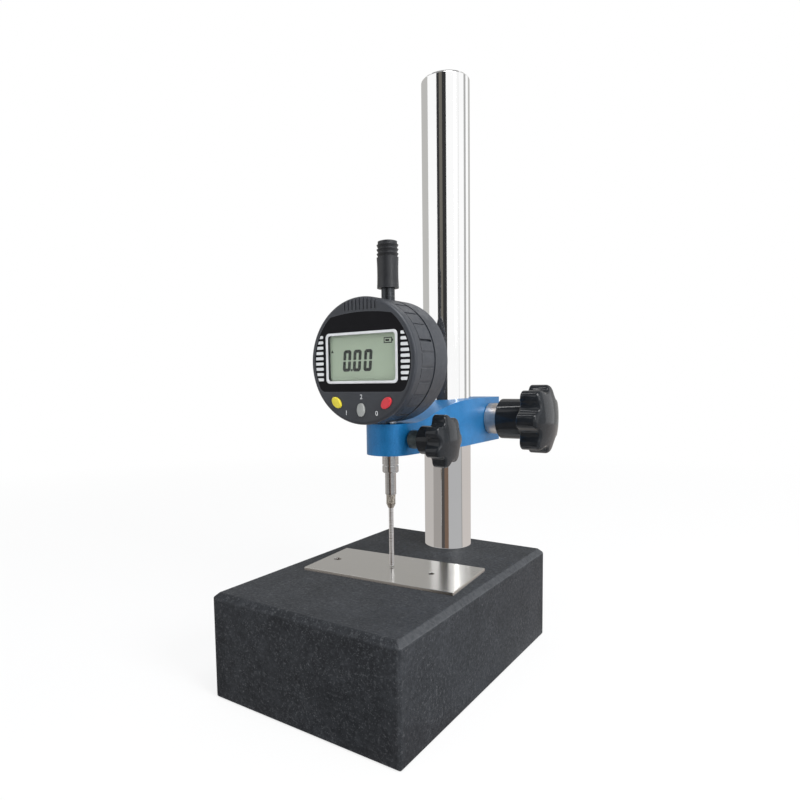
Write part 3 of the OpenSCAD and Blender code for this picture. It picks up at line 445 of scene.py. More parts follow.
chrome = patterned("hard_chrome", clouds, 18.0, (0.94, 0.94, 0.94), (0.98, 0.98, 0.98),
                   rough=(lines, (60, 60, 5200), 0.03, 0.08), Metallic=1.0, Roughness=0.05)
finish(eased("column", "column", radius=0.0002, segments=2), chrome)

# Steel plate
# A ground plate with two holes that lies loose on the granite. The grinding runs along it. As with
# the granite, the column doesn't mirror it.

plate_turn = radians(4.6)
satin, tree, shader = surface("ground_steel", Metallic=1.0, Roughness=0.22)
here = add(tree, "ShaderNodeTexCoord").outputs["Object"]
along = add(tree, "ShaderNodeMapping", {
    "Vector": here, "Rotation": (0, 0, -plate_turn), "Scale": (30, 3600, 400)}).outputs[0]
noise = add(tree, "ShaderNodeTexNoise", {"Vector": along, "Scale": 1.0, "Detail": 3.0}).outputs[0]
tone = blend(tree, noise, (0.55, 0.535, 0.51), (0.66, 0.645, 0.62))
tone = blend(tree, use(tree, edges, Width=0.0003, Ragged=0.3)["Mask"], tone, (0.72, 0.71, 0.69))
# painted shade: the hole walls are darkened where ambient occlusion finds them closed in
open_sky = add(tree, "ShaderNodeAmbientOcclusion", {"Distance": 0.003}, samples=4).outputs["AO"]
in_the_open = add(tree, "ShaderNodeMapRange", {
    "Value": open_sky, "From Min": 0.35, "From Max": 0.6}).outputs[0]
feed(tree, shader, blend(tree, in_the_open, (0.02, 0.02, 0.02), tone))
tree.links.new(math(tree, "MULTIPLY_ADD", noise, 0.08, 0.15), shader.inputs["Roughness"])
bumped(tree, shader, noise, strength=0.05, distance=0.0001)
plate = eased("gauge_plate", "plate", radius=0.00015, segments=2)
plate.visible_glossy = False
finish(plate, satin)

# Arm
# One casting, milled and bored, then painted a metallic blue with fine flakes under a clear coat.
# Its slit tail is drawn together by the large knob.

paint, tree, shader = surface("blue_flake_paint", Metallic=0.45, Coat_Weight=0.35, Coat_Roughness=0.3)
tone = blend(tree, use(tree, clouds, Scale=120.0)["Value"], (0.005, 0.15, 0.39), (0.007, 0.188, 0.475))
flakes = use(tree, grains, Scale=3600.0, Share=0.34, Size=0.55)
shining = math(tree, "MULTIPLY", flakes["Mask"], flakes["Random"])
feed(tree, shader, blend(tree, shining, tone, (0.03, 0.26, 0.60)))
tree.links.new(math(tree, "MULTIPLY_ADD", flakes["Random"], 0.25, 0.32), shader.inputs["Roughness"])
bumped(tree, shader, use(tree, clouds, Scale=1500.0)["Value"], strength=0.10, distance=0.0002)
finish(eased("support_arm", "arm", radius=0.0006), paint)

# Column clamp
# A screw through the arm's tail, a satin steel collar and a star knob of glossy black plastic that
# is moulded on the screw. The knob has seven lobes, a flat underside with a hub, and a low dome.

GEOMETRY, INTEGER, MATERIAL = "NodeSocketGeometry", "NodeSocketInt", "NodeSocketMaterial"


def geometry_tree(name, inputs):
    """An empty Geometry Nodes tree that takes these inputs and a material."""
    inputs["Material"] = (MATERIAL, None)
    return node_group(name, inputs, {"Geometry": GEOMETRY}, "GeometryNodeTree")


def dress(tree, geometry, came, goes):
    """Ends a Geometry Nodes tree: its geometry, in its material, goes out."""
    made = add(tree, "GeometryNodeSetMaterial", {"Geometry": geometry, "Material": came["Material"]})
    tree.links.new(made.outputs[0], goes["Geometry"])


# round_axis: the shape again and again round the X axis, joined where copies meet
round_axis, came, goes = geometry_tree("round_axis", {
    "Geometry": (GEOMETRY, None), "Count": (INTEGER, 7), "First Turn": (FLOAT, 0.0),
    "Join Distance": (FLOAT, 0.00001)})
number = add(round_axis, "GeometryNodeInputIndex").outputs[0]
step = math(round_axis, "DIVIDE", 2 * pi, came["Count"])
turn = math(round_axis, "MULTIPLY_ADD", number, step, came["First Turn"])
places = add(round_axis, "GeometryNodePoints", {"Count": came["Count"]}).outputs[0]
turned = add(round_axis, "ShaderNodeCombineXYZ", {"X": turn}).outputs[0]
copies = add(round_axis, "GeometryNodeInstanceOnPoints", {
    "Points": places, "Instance": came["Geometry"], "Rotation": turned}).outputs[0]
real = add(round_axis, "GeometryNodeRealizeInstances", {"Geometry": copies}).outputs[0]
merged = add(round_axis, "GeometryNodeMergeByDistance", {
    "Geometry": real, "Distance": came["Join Distance"]}).outputs[0]
dress(round_axis, merged, came, goes)


def grown(piece, tree, place, body, stands_for, **sizes):
    """The plain mesh that a Geometry Nodes tree makes of this piece, set in its place on a body."""
    sharp_turn = radians(35)
    build = piece.modifiers.new("build", "NODES")
    build.node_group = tree
    for item in tree.interface.items_tree:
        if item.in_out == "INPUT" and item.name.replace(" ", "_") in sizes:
            build[item.identifier] = sizes[item.name.replace(" ", "_")]
    bpy.context.view_layer.update()
    made = bpy.data.meshes.new_from_object(piece.evaluated_get(bpy.context.evaluated_depsgraph_get()))
    piece.modifiers.clear()
    piece.data = made
    made.transform(place)
    form = bmesh.new()
    form.from_mesh(made)
    bmesh.ops.recalc_face_normals(form, faces=form.faces)
    form.to_mesh(made)
    form.free()
    made.shade_smooth()
    made.set_sharp_from_angle(angle=sharp_turn)
    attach(piece, body)
    if stands_for:
        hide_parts(stands_for)
    return piece


lobes = 7


def star_sector(name, across, lobe_r, flute_r, hub_r, hub_l, rim, crown, crest):
    """One lobe of a star knob with half a flute on each side, in mm, from its hub at 0 along X. Rim is
    the lobe's thickness, crown the dome's rise over it, and crest the rounding between them."""
    flute_steps, lobe_steps, foot_steps, crest_steps, dome_steps = 6, 14, 4, 7, 12
    hub_chamfer, foot, past_rim = 0.5, 0.8, 0.5
    half = pi / lobes
    lobe_c = across / 2 - lobe_r
    flute_c = lobe_c * cos(half) + sqrt((lobe_r + flute_r) ** 2 - (lobe_c * sin(half)) ** 2)
    touch = atan2(flute_c * sin(half), flute_c * cos(half) - lobe_c)
    bottom, edge = half + pi, touch + pi
    outline = []
    for side in (-1, 1):
        middle = Vector((flute_c * cos(half), side * flute_c * sin(half)))
        flute = [side * (bottom + (edge - bottom) * i / flute_steps) for i in range(flute_steps + 1)]
        ways = [Vector((cos(a), sin(a))) for a in flute]
        arc = [(middle + way * flute_r, -way) for way in ways]
        if side < 0:
            outline += arc[:-1]
            for i in range(lobe_steps + 1):
                a = touch * (2 * i / lobe_steps - 1)
                way = Vector((cos(a), sin(a)))
                outline.append((Vector((lobe_c, 0)) + way * lobe_r, way))
        else:
            outline += arc[-2::-1]
    top_r = across / 2 + past_rim
    dome_r = (top_r ** 2 + crown ** 2) / (2 * crown)
    dome_x = hub_l + rim + crown - dome_r
    corner = across / 14
    corner_r = top_r - corner
    corner_x = dome_x + sqrt((dome_r - corner) ** 2 - corner_r ** 2)

    def height(r):
        if r > corner_r * dome_r / (dome_r - corner):
            return corner_x + sqrt(max(0, corner ** 2 - (r - corner_r) ** 2))
        return dome_x + sqrt(dome_r ** 2 - r ** 2)

    inner = [p - n * foot for p, n in outline]
    hub = ((0, hub_r - hub_chamfer), (hub_chamfer, hub_r), (hub_l, hub_r))
    rows = [[(x, p.normalized() * r) for p in inner] for x, r in hub]
    rows.append([(hub_l, p) for p in inner])
    for i in range(1, foot_steps + 1):
        a = radians(90 * i / foot_steps)
        rows.append([(hub_l + foot * (1 - cos(a)), p - n * foot * (1 - sin(a))) for p, n in outline])
    for i in range(crest_steps + 1):
        a = radians(90 * i / crest_steps)
        drawn_in = [p - n * crest * (1 - cos(a)) for p, n in outline]
        rows.append([(height(q.length) - crest * (1 - sin(a)), q) for q in drawn_in])
    for i in range(1, dome_steps):
        drawn_in = [(p - n * crest) * (1 - i / dome_steps) for p, n in outline]
        rows.append([(height(q.length), q) for q in drawn_in])
    width = len(outline)
    corners = [(x, q.x, q.y) for row in rows for x, q in row]
    corners += [(0, 0, 0), (height(0), 0, 0)]
    back_pole, front_pole = len(corners) - 2, len(corners) - 1
    last = (len(rows) - 1) * width
    faces = [(r * width + i, r * width + i + 1, (r + 1) * width + i + 1, (r + 1) * width + i)
             for r in range(len(rows) - 1) for i in range(width - 1)]
    faces += [(back_pole, i + 1, i) for i in range(width - 1)]
    faces += [(front_pole, last + i, last + i + 1) for i in range(width - 1)]
    return sheet_mesh(name, [Vector(c) * MM for c in corners], faces)


gloss_black = patterned("black_knob_plastic", clouds, 90.0, (0.011, 0.0125, 0.0147), (0.0155, 0.0176, 0.0206),
                        rough=(clouds, 70.0, 0.05, 0.11), bump=(260.0, 0.05, 0.0003),
                        Roughness=0.08, Specular_IOR_Level=0.3)
clamp_place, clamp_turn = Vector((25.0, 76.0, 120.1)) * MM, radians(13)
knob = star_sector("column_clamp_star", across=38.5, lobe_r=4.4, flute_r=4.5, hub_r=11.2, hub_l=15.4,
                   rim=10.2, crown=3.8, crest=1.5)
upright = Matrix.Rotation(pi / 2, 4, "X")
grown(knob, round_axis, Matrix.Translation(clamp_place) @ upright, "column_clamp", "column_clamp_knob",
      Count=lobes, First_Turn=-clamp_turn, Material=gloss_black)
# mirrored in the column it would be a black blob over the arm, which the photograph doesn't show
knob.visible_glossy = False

across_lines = (3800, 60, 60)
turned_steel = patterned("turned_steel", lines, across_lines, (0.44, 0.40, 0.37), (0.58, 0.54, 0.51),
                         rough=(lines, across_lines, 0.28, 0.44), Metallic=0.8, Roughness=0.34)
finish(eased("column_clamp_collar", "column_clamp_slide", radius=0.0005), turned_steel)
finish_nodes(zinc, "column_clamp_screw")

# Stem clamp
# A smaller copy of the column clamp, with a dark phosphated collar. A brass pad keeps its screw off
# the indicator's stem.

brass = patterned("turned_brass", clouds, 400.0, (0.62, 0.46, 0.20), (0.74, 0.58, 0.28),
                  rough=(clouds, 900.0, 0.22, 0.4), Metallic=1.0, Roughness=0.3)
phosphate = patterned("phosphate_coat", clouds, 700.0, (0.055, 0.07, 0.07), (0.085, 0.10, 0.10),
                      worn=(0.0004, (0.22, 0.24, 0.24)), Metallic=0.5, Roughness=0.5)
stem_y = -2.5
lock_place, lock_turn = Vector((18.2, stem_y, 114.7)) * MM, radians(39)
knob = star_sector("stem_clamp_star", across=25.0, lobe_r=2.9, flute_r=2.9, hub_r=6.75, hub_l=7.7,
                   rim=6.6, crown=2.4, crest=1.1)
grown(knob, round_axis, Matrix.Translation(lock_place) @ upright, "stem_clamp", "stem_clamp_knob",
      Count=lobes, First_Turn=-lock_turn, Material=gloss_black)
finish(eased("stem_clamp_collar", "stem_clamp", radius=0.0004), phosphate)
finish_nodes(zinc, "stem_clamp_screw")
finish_nodes(brass, "stem_clamp_pad")

# Stem, bush and spindle
# Stainless steel, turned and ground. The spindle slides in the bush that is pressed into the stem.

stem_lines, needle_lines = (90, 90, 5000), (90, 90, 4000)
ground_round = patterned("ground_stainless", lines, stem_lines, (0.54, 0.54, 0.54), (0.70, 0.70, 0.70),
                         rough=(lines, stem_lines, 0.08, 0.2), Metallic=1.0, Roughness=0.14)
finish_nodes(ground_round, "stem", "stem_bush", "spindle")
bright_round = patterned("bright_needle_steel", lines, needle_lines, (0.72, 0.72, 0.72), (0.86, 0.86, 0.86),
                         rough=(lines, needle_lines, 0.25, 0.4), Metallic=1.0, Roughness=0.3)
finish_nodes(bright_round, "contact_needle")

# Contact holder
# A small steel chuck with a diamond knurl between a plain collar and a conical end. The needle's
# pin is screwed into it.

knurled = patterned("knurled_steel", clouds, 1500.0, (0.40, 0.365, 0.32), (0.64, 0.60, 0.54),
                    rough=(clouds, 2500.0, 0.22, 0.42), Metallic=1.0, Roughness=0.3)


def joined(tree, *parts):
    """The parts as one geometry."""
    made = tree.nodes.new("GeometryNodeJoinGeometry")
    for part in parts:
        tree.links.new(part, made.inputs[0])
    return made.outputs[0]


# diamond_knurl: rows of four-sided points on a round core, each row half a step on from the last
diamond_knurl, came, goes = geometry_tree("diamond_knurl", {
    "Geometry": (GEOMETRY, None), "Around": (INTEGER, 22), "Rows": (INTEGER, 11),
    "Core Radius": (FLOAT, 0.002), "Point Height": (FLOAT, 0.0003), "Row Step": (FLOAT, 0.0003),
    "Start": (FLOAT, 0.0)})
number = add(diamond_knurl, "GeometryNodeInputIndex").outputs[0]
row = math(diamond_knurl, "FLOOR", math(diamond_knurl, "DIVIDE", number, came["Around"]))
shift = math(diamond_knurl, "MULTIPLY", math(diamond_knurl, "MODULO", row, 2.0), 0.5)
step = math(diamond_knurl, "DIVIDE", 2 * pi, came["Around"])
turn = math(diamond_knurl, "MULTIPLY", math(diamond_knurl, "ADD", number, shift), step)
x = math(diamond_knurl, "MULTIPLY", math(diamond_knurl, "COSINE", turn), came["Core Radius"])
y = math(diamond_knurl, "MULTIPLY", math(diamond_knurl, "SINE", turn), came["Core Radius"])
z = math(diamond_knurl, "MULTIPLY_ADD", row, came["Row Step"], came["Start"])
place = add(diamond_knurl, "ShaderNodeCombineXYZ", {"X": x, "Y": y, "Z": z}).outputs[0]
many = math(diamond_knurl, "MULTIPLY", came["Around"], came["Rows"])
places = add(diamond_knurl, "GeometryNodePoints", {"Count": many, "Position": place}).outputs[0]
point = add(diamond_knurl, "GeometryNodeMeshCone", {
    "Vertices": 4, "Radius Top": 0.0, "Radius Bottom": 1.0, "Depth": came["Point Height"]}).outputs[0]
wide = math(diamond_knurl, "MULTIPLY", math(diamond_knurl, "MULTIPLY", step, 0.5), came["Core Radius"])
size = add(diamond_knurl, "ShaderNodeCombineXYZ", {"X": came["Row Step"], "Y": wide, "Z": 1.0}).outputs[0]
outward = add(diamond_knurl, "ShaderNodeCombineXYZ", {"X": 0.0, "Y": pi / 2, "Z": turn}).outputs[0]
points = add(diamond_knurl, "GeometryNodeInstanceOnPoints", {
    "Points": places, "Instance": point, "Rotation": outward, "Scale": size}).outputs[0]
real = add(diamond_knurl, "GeometryNodeRealizeInstances", {"Geometry": points}).outputs[0]
dress(diamond_knurl, joined(diamond_knurl, real, came["Geometry"]), came, goes)


def lathed(name, profile):
    """A closed turned piece about the Z axis, in mm, from radius and height, both ends on the axis."""
    sides = 48
    ring = [(cos(2 * pi * i / sides), sin(2 * pi * i / sides)) for i in range(sides)]
    corners = [Vector((r * c, r * s, z)) * MM for r, z in profile[1:-1] for c, s in ring]
    corners += [Vector((0, 0, profile[0][1])) * MM, Vector((0, 0, profile[-1][1])) * MM]
    low, high, last = len(corners) - 2, len(corners) - 1, (len(profile) - 3) * sides
    after = [(i + 1) % sides for i in range(sides)]
    faces = [(r + i, r + after[i], r + sides + after[i], r + sides + i)
             for r in range(0, last, sides) for i in range(sides)]
    faces += [(low, after[i], i) for i in range(sides)]
    faces += [(high, last + i, last + after[i]) for i in range(sides)]
    return sheet_mesh(name, corners, faces)


holder = lathed("knurled_holder", [
    (0, 80.3), (1.4, 80.3), (2.2, 82.1), (2.3, 82.35), (2.3, 82.5), (2.1, 82.65), (2.1, 86.05), (2.3, 86.2),
    (2.3, 86.9), (2.1, 87.1), (1.0, 87.1), (1.0, 92.1), (0, 92.1)])
stem_place = Matrix.Translation(Vector((0, stem_y, 0)) * MM)
grown(holder, diamond_knurl, stem_place, "spindle", "contact_holder", Around=20, Rows=11,
      Core_Radius=2.08 * MM, Point_Height=0.22 * MM, Row_Step=0.31 * MM, Start=82.8 * MM, Material=knurled)

# Rear housing, neck and cover
# Two plastic mouldings, screwed together from behind with four small cross-head screws. The steel
# neck guides the spindle's rod.

housing_plastic = patterned("charcoal_plastic", clouds, 70.0, (0.026, 0.029, 0.036), (0.034, 0.038, 0.046),
                            rough=(clouds, 500.0, 0.34, 0.48), worn=(0.0003, (0.085, 0.088, 0.095)),
                            bump=(5200.0, 0.10, 0.0001), Roughness=0.42, Specular_IOR_Level=0.5)
finish_nodes(housing_plastic, "indicator_body", "display_shell", "battery_tray", "rear_cover", "display_back",
             "port_cover")
rod_lines = (90, 90, 4200)
dark_steel = patterned("dark_turned_steel", lines, rod_lines, (0.04, 0.043, 0.048), (0.065, 0.07, 0.077),
                       rough=(lines, rod_lines, 0.24, 0.36), Metallic=0.8, Roughness=0.25)
finish_nodes(dark_steel, "neck_tube")

# cross_screw: a countersunk screw that points down the X axis, its head cut with a cross
cross_screw, came, goes = geometry_tree("cross_screw", {
    "Head Radius": (FLOAT, 0.00185), "Head Height": (FLOAT, 0.001), "Shank Radius": (FLOAT, 0.0008),
    "Shank Length": (FLOAT, 0.0063), "Cross Length": (FLOAT, 0.0021), "Cross Width": (FLOAT, 0.0004),
    "Cross Depth": (FLOAT, 0.0006), "Off Axis": (FLOAT, 0.02)})
screw_sides, screw_count = 40, 4


def moved(tree, geometry, *place, turn=(0, 0, 0)):
    """The geometry, turned and moved."""
    where = add(tree, "ShaderNodeCombineXYZ", dict(zip("XYZ", place))).outputs[0]
    made = add(tree, "GeometryNodeTransform", {"Geometry": geometry, "Translation": where, "Rotation": turn})
    return made.outputs[0]


cone = add(cross_screw, "GeometryNodeMeshCone", {
    "Vertices": screw_sides, "Radius Top": came["Head Radius"], "Radius Bottom": came["Shank Radius"],
    "Depth": came["Head Height"]}).outputs[0]
long = add(cross_screw, "GeometryNodeMeshCylinder", {
    "Vertices": screw_sides, "Radius": came["Shank Radius"], "Depth": came["Shank Length"]}).outputs[0]
below = math(cross_screw, "MULTIPLY", came["Head Height"], -1.0)
head = moved(cross_screw, cone, 0.0, 0.0, below)
drop = math(cross_screw, "MULTIPLY_ADD", came["Shank Length"], -0.5, below)
shank = moved(cross_screw, long, 0.0, 0.0, drop)
deep = math(cross_screw, "MULTIPLY", came["Cross Depth"], 2.0)
arms = []
for x, y in (("Cross Length", "Cross Width"), ("Cross Width", "Cross Length")):
    size = add(cross_screw, "ShaderNodeCombineXYZ", {"X": came[x], "Y": came[y], "Z": deep}).outputs[0]
    arms.append(add(cross_screw, "GeometryNodeMeshCube", {"Size": size}).outputs[0])
cut = add(cross_screw, "GeometryNodeMeshBoolean", {"Mesh 1": head, "Mesh 2": joined(cross_screw, *arms)},
          operation="DIFFERENCE").outputs[0]
whole = joined(cross_screw, cut, shank)
lying = moved(cross_screw, whole, 0.0, 0.0, came["Off Axis"], turn=(0, pi / 2, 0))
ring = cross_screw.nodes.new("GeometryNodeGroup")
ring.node_tree = round_axis
ring.inputs["Count"].default_value = screw_count
ring.inputs["First Turn"].default_value = pi / screw_count
cross_screw.links.new(lying, ring.inputs["Geometry"])
cross_screw.links.new(came["Material"], ring.inputs["Material"])
cross_screw.links.new(ring.outputs[0], goes["Geometry"])

dial_z, screw_y = 151.9, 3.3
screw_steel, tree, shader = surface("screw_steel", Metallic=1.0, Roughness=0.35)
tone = blend(tree, use(tree, edges, Width=0.0002)["Mask"], (0.30, 0.305, 0.31), (0.62, 0.63, 0.64))
feed(tree, shader, tone, rough=(clouds, 900.0, 0.28, 0.45))
to_the_back = Matrix.Translation(Vector((0, screw_y, dial_z)) * MM) @ Matrix.Rotation(pi / 2, 4, "Z")
grown(sheet_mesh("cover_cross_screws", [], []), cross_screw, to_the_back, "indicator", "rear_cover_screws",
      Off_Axis=23.2 * MM, Material=screw_steel)

# Lifting cap
# A dark turned cap with three sharp ridges, by which the spindle is raised.

cap_finish = patterned("dark_cap", clouds, 200.0, (0.014, 0.015, 0.0172), (0.019, 0.0203, 0.023),
                       rough=(lines, rod_lines, 0.34, 0.46), worn=(0.0002, (0.045, 0.047, 0.051)),
                       Roughness=0.4, Specular_IOR_Level=0.5)
finish_nodes(cap_finish, "lifting_cap")

# What is inside
# Boards, scale, carrier, rail, connectors, switches, battery and small fasteners, in the finishes that
# such parts come in. Only an opened or moved gauge shows them.

board, tree, shader = surface("solder_mask", Roughness=0.3)
pads = use(tree, grains, Scale=420.0, Share=0.3, Size=0.3)["Mask"]
feed(tree, shader, blend(tree, pads, (0.010, 0.075, 0.035), (0.45, 0.36, 0.16)))
moulded = patterned("plain_moulding", clouds, 150.0, (0.36, 0.37, 0.38), (0.46, 0.47, 0.48), Roughness=0.45)
copper, tree, shader = surface("copper_pattern", Metallic=0.7, Roughness=0.35)
comb = add(tree, "ShaderNodeTexWave", {"Scale": 300.0}, bands_direction="Z").outputs[1]
feed(tree, shader, blend(tree, comb, (0.55, 0.42, 0.16), (0.12, 0.16, 0.06)))
pink_rubber, tree, shader = surface("layered_rubber", Roughness=0.6)
stripes = add(tree, "ShaderNodeTexWave", {"Scale": 900.0}, bands_direction="X").outputs[1]
feed(tree, shader, blend(tree, stripes, (0.55, 0.18, 0.26), (0.05, 0.05, 0.05)))
finish_nodes(board, "main_board", "reader_board")
finish_nodes(moulded, "scale_carrier", "key_switches")
finish_nodes(copper, "scale_strip")
finish_nodes(pink_rubber, "lcd_connectors")
finish_nodes(brass, "battery_contacts")
finish_nodes(satin, "guide_rail")
finish_nodes(ground_round, "guide_pin", "coin_cell")
finish_nodes(zinc, "display_screws", "retaining_ring")

# Return spring
# A coil of spring wire between the carrier and the housing's upper boss. On the gauge it shortens
# as the spindle is pushed up; here it is one fixed coil.

wire = patterned("spring_wire", clouds, 600.0, (0.48, 0.49, 0.50), (0.62, 0.63, 0.64), Metallic=1.0,
                 Roughness=0.28)

# coil: round wire wound upwards from the origin
coil, came, goes = geometry_tree("coil", {
    "Turns": (FLOAT, 9.0), "Radius": (FLOAT, 0.0026), "Height": (FLOAT, 0.02),
    "Wire Radius": (FLOAT, 0.0003)})
path = add(coil, "GeometryNodeCurveSpiral", {
    "Resolution": 24, "Rotations": came["Turns"], "Height": came["Height"], "Start Radius": came["Radius"],
    "End Radius": came["Radius"]}).outputs[0]
round_wire = add(coil, "GeometryNodeCurvePrimitiveCircle", {
    "Resolution": 10, "Radius": came["Wire Radius"]}).outputs[0]
wound = add(coil, "GeometryNodeCurveToMesh", {
    "Curve": path, "Profile Curve": round_wire, "Fill Caps": True}).outputs[0]
real = add(coil, "GeometryNodeRealizeInstances", {"Geometry": wound}).outputs[0]
dress(coil, real, came, goes)

coil_r, wire_r, spring_low, spring_high, travel = 2.6, 0.3, 147.1, 169.9, 12.7
coil_place = stem_place @ Matrix.Translation((0, 0, (spring_low + wire_r) * MM))
coil_h = spring_high - spring_low - 2 * wire_r
spring = grown(sheet_mesh("return_coil", [], []), coil, coil_place, "indicator", "return_spring",
               Radius=coil_r * MM, Height=coil_h * MM, Wire_Radius=wire_r * MM, Material=wire)
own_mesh(spring)

# Panel, window frame and lens
# A glossy black panel is glued in the face, and a silver frame and a clear lens close the window.

panel_black = patterned("gloss_panel", clouds, 60.0, (0.0045, 0.0045, 0.0055), (0.007, 0.007, 0.0085),
                        rough=(clouds, 90.0, 0.07, 0.13), Roughness=0.1, Specular_IOR_Level=0.08)
finish_nodes(panel_black, "window_panel")
silver = patterned("silver_frame", clouds, 200.0, (0.62, 0.63, 0.65), (0.74, 0.75, 0.77), Metallic=0.25,
                   Roughness=0.32)
finish(eased("window_frame", "display", radius=0.00014), silver)
clear = patterned("clear_lens", clouds, 40.0, (0.97, 0.99, 0.98), (0.99, 1.0, 0.99), Roughness=0.02, IOR=1.2,
                  Transmission_Weight=1.0)
finish_nodes(clear, "window_lens")

# Liquid crystal display
# A pale grey-green glass with dark slanted segments. It reads 0.00, with a plain marker at the left and
# a battery sign above.

lcd_green = patterned("lcd_glass", clouds, 35.0, (0.365, 0.435, 0.34), (0.385, 0.46, 0.355), Roughness=0.38)
finish_nodes(lcd_green, "lcd_panel")
lcd_black = patterned("lcd_segments", clouds, 300.0, (0.004, 0.007, 0.005), (0.008, 0.011, 0.009),
                      Roughness=0.45)
lcd_front, lcd_ink = -24.2, 0.05

digit_w, digit_h, slant = 4.5, 9.9, radians(5)
upright_w, level_w, segment_gap, corner_cut = 1.6, 1.45, 0.4, 0.9
digit_places = (-8.9, -3.1, 2.9)
digit_middle = 0.4
wide, inside, rise = digit_w / 2, digit_w / 2 - upright_w, digit_h / 2
half_zero = [(-wide + upright_w / 2, segment_gap / 2), (-inside, segment_gap), (-inside, rise - level_w),
             (inside, rise - level_w), (inside, segment_gap), (wide - upright_w / 2, segment_gap / 2),
             (wide, segment_gap), (wide, rise - corner_cut), (wide - corner_cut, rise),
             (-wide + corner_cut, rise), (-wide, rise - corner_cut), (-wide, segment_gap)]
# every outline runs anticlockwise, seen from the front
marks = []
for place in digit_places:
    for way in (1, -1):
        marks.append([(place + way * x + way * z * tan(slant), digit_middle + way * z) for x, z in half_zero])

point_x, point_z, point_size, point_lean = -6.95, -4.45, 1.05, 0.1
point_corners = ((0, 0), (0.95, 0), (0.95 + point_lean, 1), (point_lean, 1))
marks.append([(point_x + x * point_size, point_z + z * point_size) for x, z in point_corners])
marker = [(-18.3, 4.3), (-16.7, 4.3), (-17.5, 5.6)]
marks.append(marker)


def rectangle(x, z, wide, high):
    """The outline of a rectangle from its lower left corner."""
    return [(x, z), (x + wide, z), (x + wide, z + high), (x, z + high)]


battery_x, battery_z, battery_w, battery_h, line = 11.6, 7.6, 4.4, 2.2, 0.45
battery_right, battery_top = battery_x + battery_w, battery_z + battery_h
charge_in, charge_w, charge_h, pole_w = 0.85, 2.05, 0.95, 0.6
marks += [rectangle(battery_x, battery_z, battery_w, line),
          rectangle(battery_x, battery_top, battery_w, line),
          rectangle(battery_x, battery_z + line, line, battery_h - line),
          rectangle(battery_right - line, battery_z + line, line, battery_h - line),
          rectangle(battery_right, battery_z + charge_in, pole_w, charge_h),
          rectangle(battery_x + charge_in, battery_z + charge_in, charge_w, charge_h)]

corners, faces = [], []
for outline in marks:
    back = [len(corners) + i for i in range(len(outline))]
    front = [i + len(outline) for i in back]
    for y in (lcd_front, lcd_front - lcd_ink):
        corners += [Vector((x, y, dial_z + z)) * MM for x, z in outline]
    faces += [back[::-1], front]
    faces += zip(front, back, back[1:] + back[:1], front[1:] + front[:1])
digits = sheet_mesh("lcd_digits", corners, faces)
finish(digits, lcd_black)
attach(digits, "display")

# Printed bars
# Nine white bars stand on each side of the window. Their outer ends follow the panel's round edge.

white_print = patterned("white_print", clouds, 400.0, (0.60, 0.61, 0.62), (0.72, 0.73, 0.74), Roughness=0.4)
face_front = -26.2
print_t = 0.03 * MM

# dial_bars: a column of bars whose outer ends are cut along an arc, seen along -Z
dial_bars, came, goes = geometry_tree("dial_bars", {
    "Rows": (INTEGER, 9), "Top": (FLOAT, 0.0118), "Pitch": (FLOAT, 0.00249), "Height": (FLOAT, 0.0014),
    "Inner": (FLOAT, 0.0215), "Outer Radius": (FLOAT, 0.0261), "Corner": (FLOAT, 0.0005),
    "Thickness": (FLOAT, 0.00003)})
long = math(dial_bars, "SUBTRACT", came["Outer Radius"], came["Inner"])
long = math(dial_bars, "MULTIPLY", long, 1.3)
outline = add(dial_bars, "GeometryNodeCurvePrimitiveQuadrilateral", {
    "Width": long, "Height": came["Height"]}).outputs[0]
soft = add(dial_bars, "GeometryNodeFilletCurve", {
    "Curve": outline, "Radius": came["Corner"], "Count": 5}, mode="POLY").outputs[0]
flat = add(dial_bars, "GeometryNodeFillCurve", {"Curve": soft}, mode="NGONS").outputs[0]
number = add(dial_bars, "GeometryNodeInputIndex").outputs[0]
drop = math(dial_bars, "MULTIPLY", number, came["Pitch"])
high = math(dial_bars, "SUBTRACT", came["Top"], drop)
middle = math(dial_bars, "MULTIPLY_ADD", long, 0.5, came["Inner"])
row_place = add(dial_bars, "ShaderNodeCombineXYZ", {"X": middle, "Y": high}).outputs[0]
rows = add(dial_bars, "GeometryNodePoints", {"Count": came["Rows"], "Position": row_place}).outputs[0]
bars = add(dial_bars, "GeometryNodeInstanceOnPoints", {"Points": rows, "Instance": flat}).outputs[0]
real = add(dial_bars, "GeometryNodeRealizeInstances", {"Geometry": bars}).outputs[0]
position = add(dial_bars, "GeometryNodeInputPosition").outputs[0]
spot = add(dial_bars, "ShaderNodeSeparateXYZ", {0: position}).outputs
square = [math(dial_bars, "POWER", value, 2.0) for value in (came["Outer Radius"], spot[1])]
arc = math(dial_bars, "SQRT", math(dial_bars, "SUBTRACT", *square))
inside = math(dial_bars, "MINIMUM", spot[0], arc)
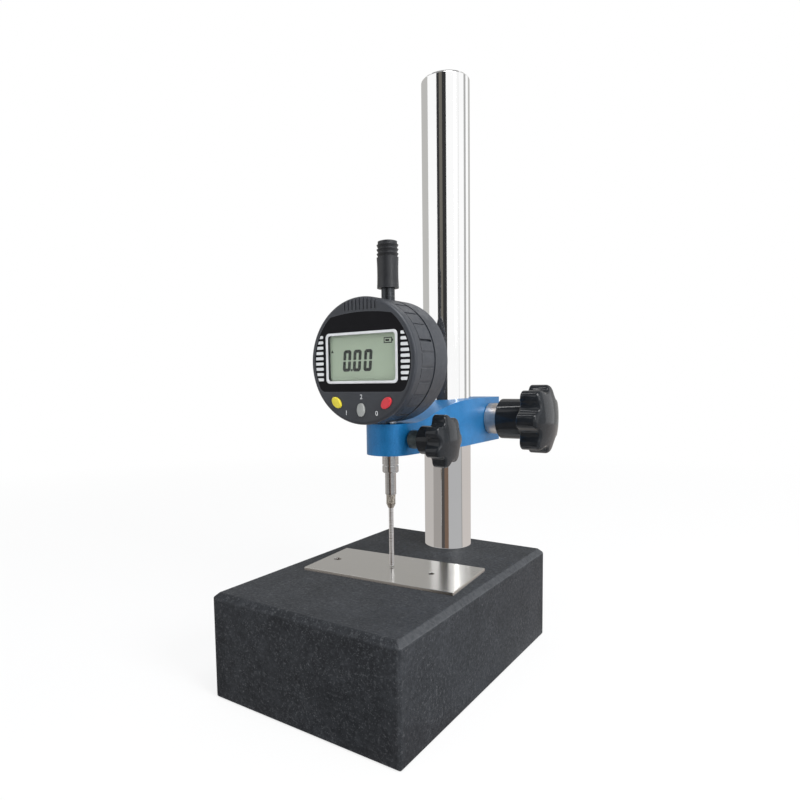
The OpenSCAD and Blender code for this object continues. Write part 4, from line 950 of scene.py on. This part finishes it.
new_spot = add(dial_bars, "ShaderNodeCombineXYZ", {"X": inside, "Y": spot[1], "Z": spot[2]}).outputs[0]
cut = add(dial_bars, "GeometryNodeSetPosition", {"Geometry": real, "Position": new_spot}).outputs[0]
raised = add(dial_bars, "GeometryNodeExtrudeMesh", {
    "Mesh": cut, "Offset Scale": came["Thickness"]}).outputs[0]
under = add(dial_bars, "GeometryNodeFlipFaces", {0: cut}).outputs[0]
closed = add(dial_bars, "GeometryNodeMergeByDistance", {
    "Geometry": joined(dial_bars, raised, under), "Distance": 0.000005}).outputs[0]
dress(dial_bars, closed, came, goes)

on_the_face = Matrix.Translation(Vector((0, face_front, dial_z)) * MM) @ Matrix.Rotation(pi / 2, 4, "X")
for name, turned_over in (("bars_right", 0), ("bars_left", pi)):
    lift = Matrix.Translation((0, 0, print_t if turned_over else 0))
    grown(sheet_mesh(name, [], []), dial_bars, on_the_face @ lift @ Matrix.Rotation(turned_over, 4, "Y"),
          "display", None, Thickness=print_t, Material=white_print)

# Buttons
# Three moulded caps with rounded edges: yellow, grey and red. Plain numbers stand beside them.

for name, body, low, high in (("unit_button", "unit_key", (0.62, 0.52, 0.035), (0.72, 0.61, 0.055)),
                              ("preset_button", "preset_key", (0.26, 0.27, 0.26), (0.32, 0.33, 0.32)),
                              ("zero_button", "zero_key", (0.50, 0.028, 0.040), (0.60, 0.040, 0.052))):
    button_plastic = patterned(name + "_plastic", clouds, 300.0, low, high, Roughness=0.35)
    finish(eased(name, body, radius=0.00045, segments=4), button_plastic)

for name, figure, x, z in (("unit_mark", "1", -8.6, -24.6), ("preset_mark", "2", 0.0, -17.2),
                           ("zero_mark", "0", 8.4, -24.6)):
    words = bpy.data.curves.new(name, "FONT")
    words.body = figure
    words.size = 0.003
    words.align_x = "CENTER"
    words.extrude = 0.00002
    shape = placed(name + "_text", words)
    mesh = bpy.data.meshes.new_from_object(shape)
    bpy.data.objects.remove(shape)
    mesh.transform(Matrix.Translation(Vector((x, 0, z)) * MM) @ on_the_face)
    number = placed(name, mesh)
    finish(number, white_print)
    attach(number, "display")
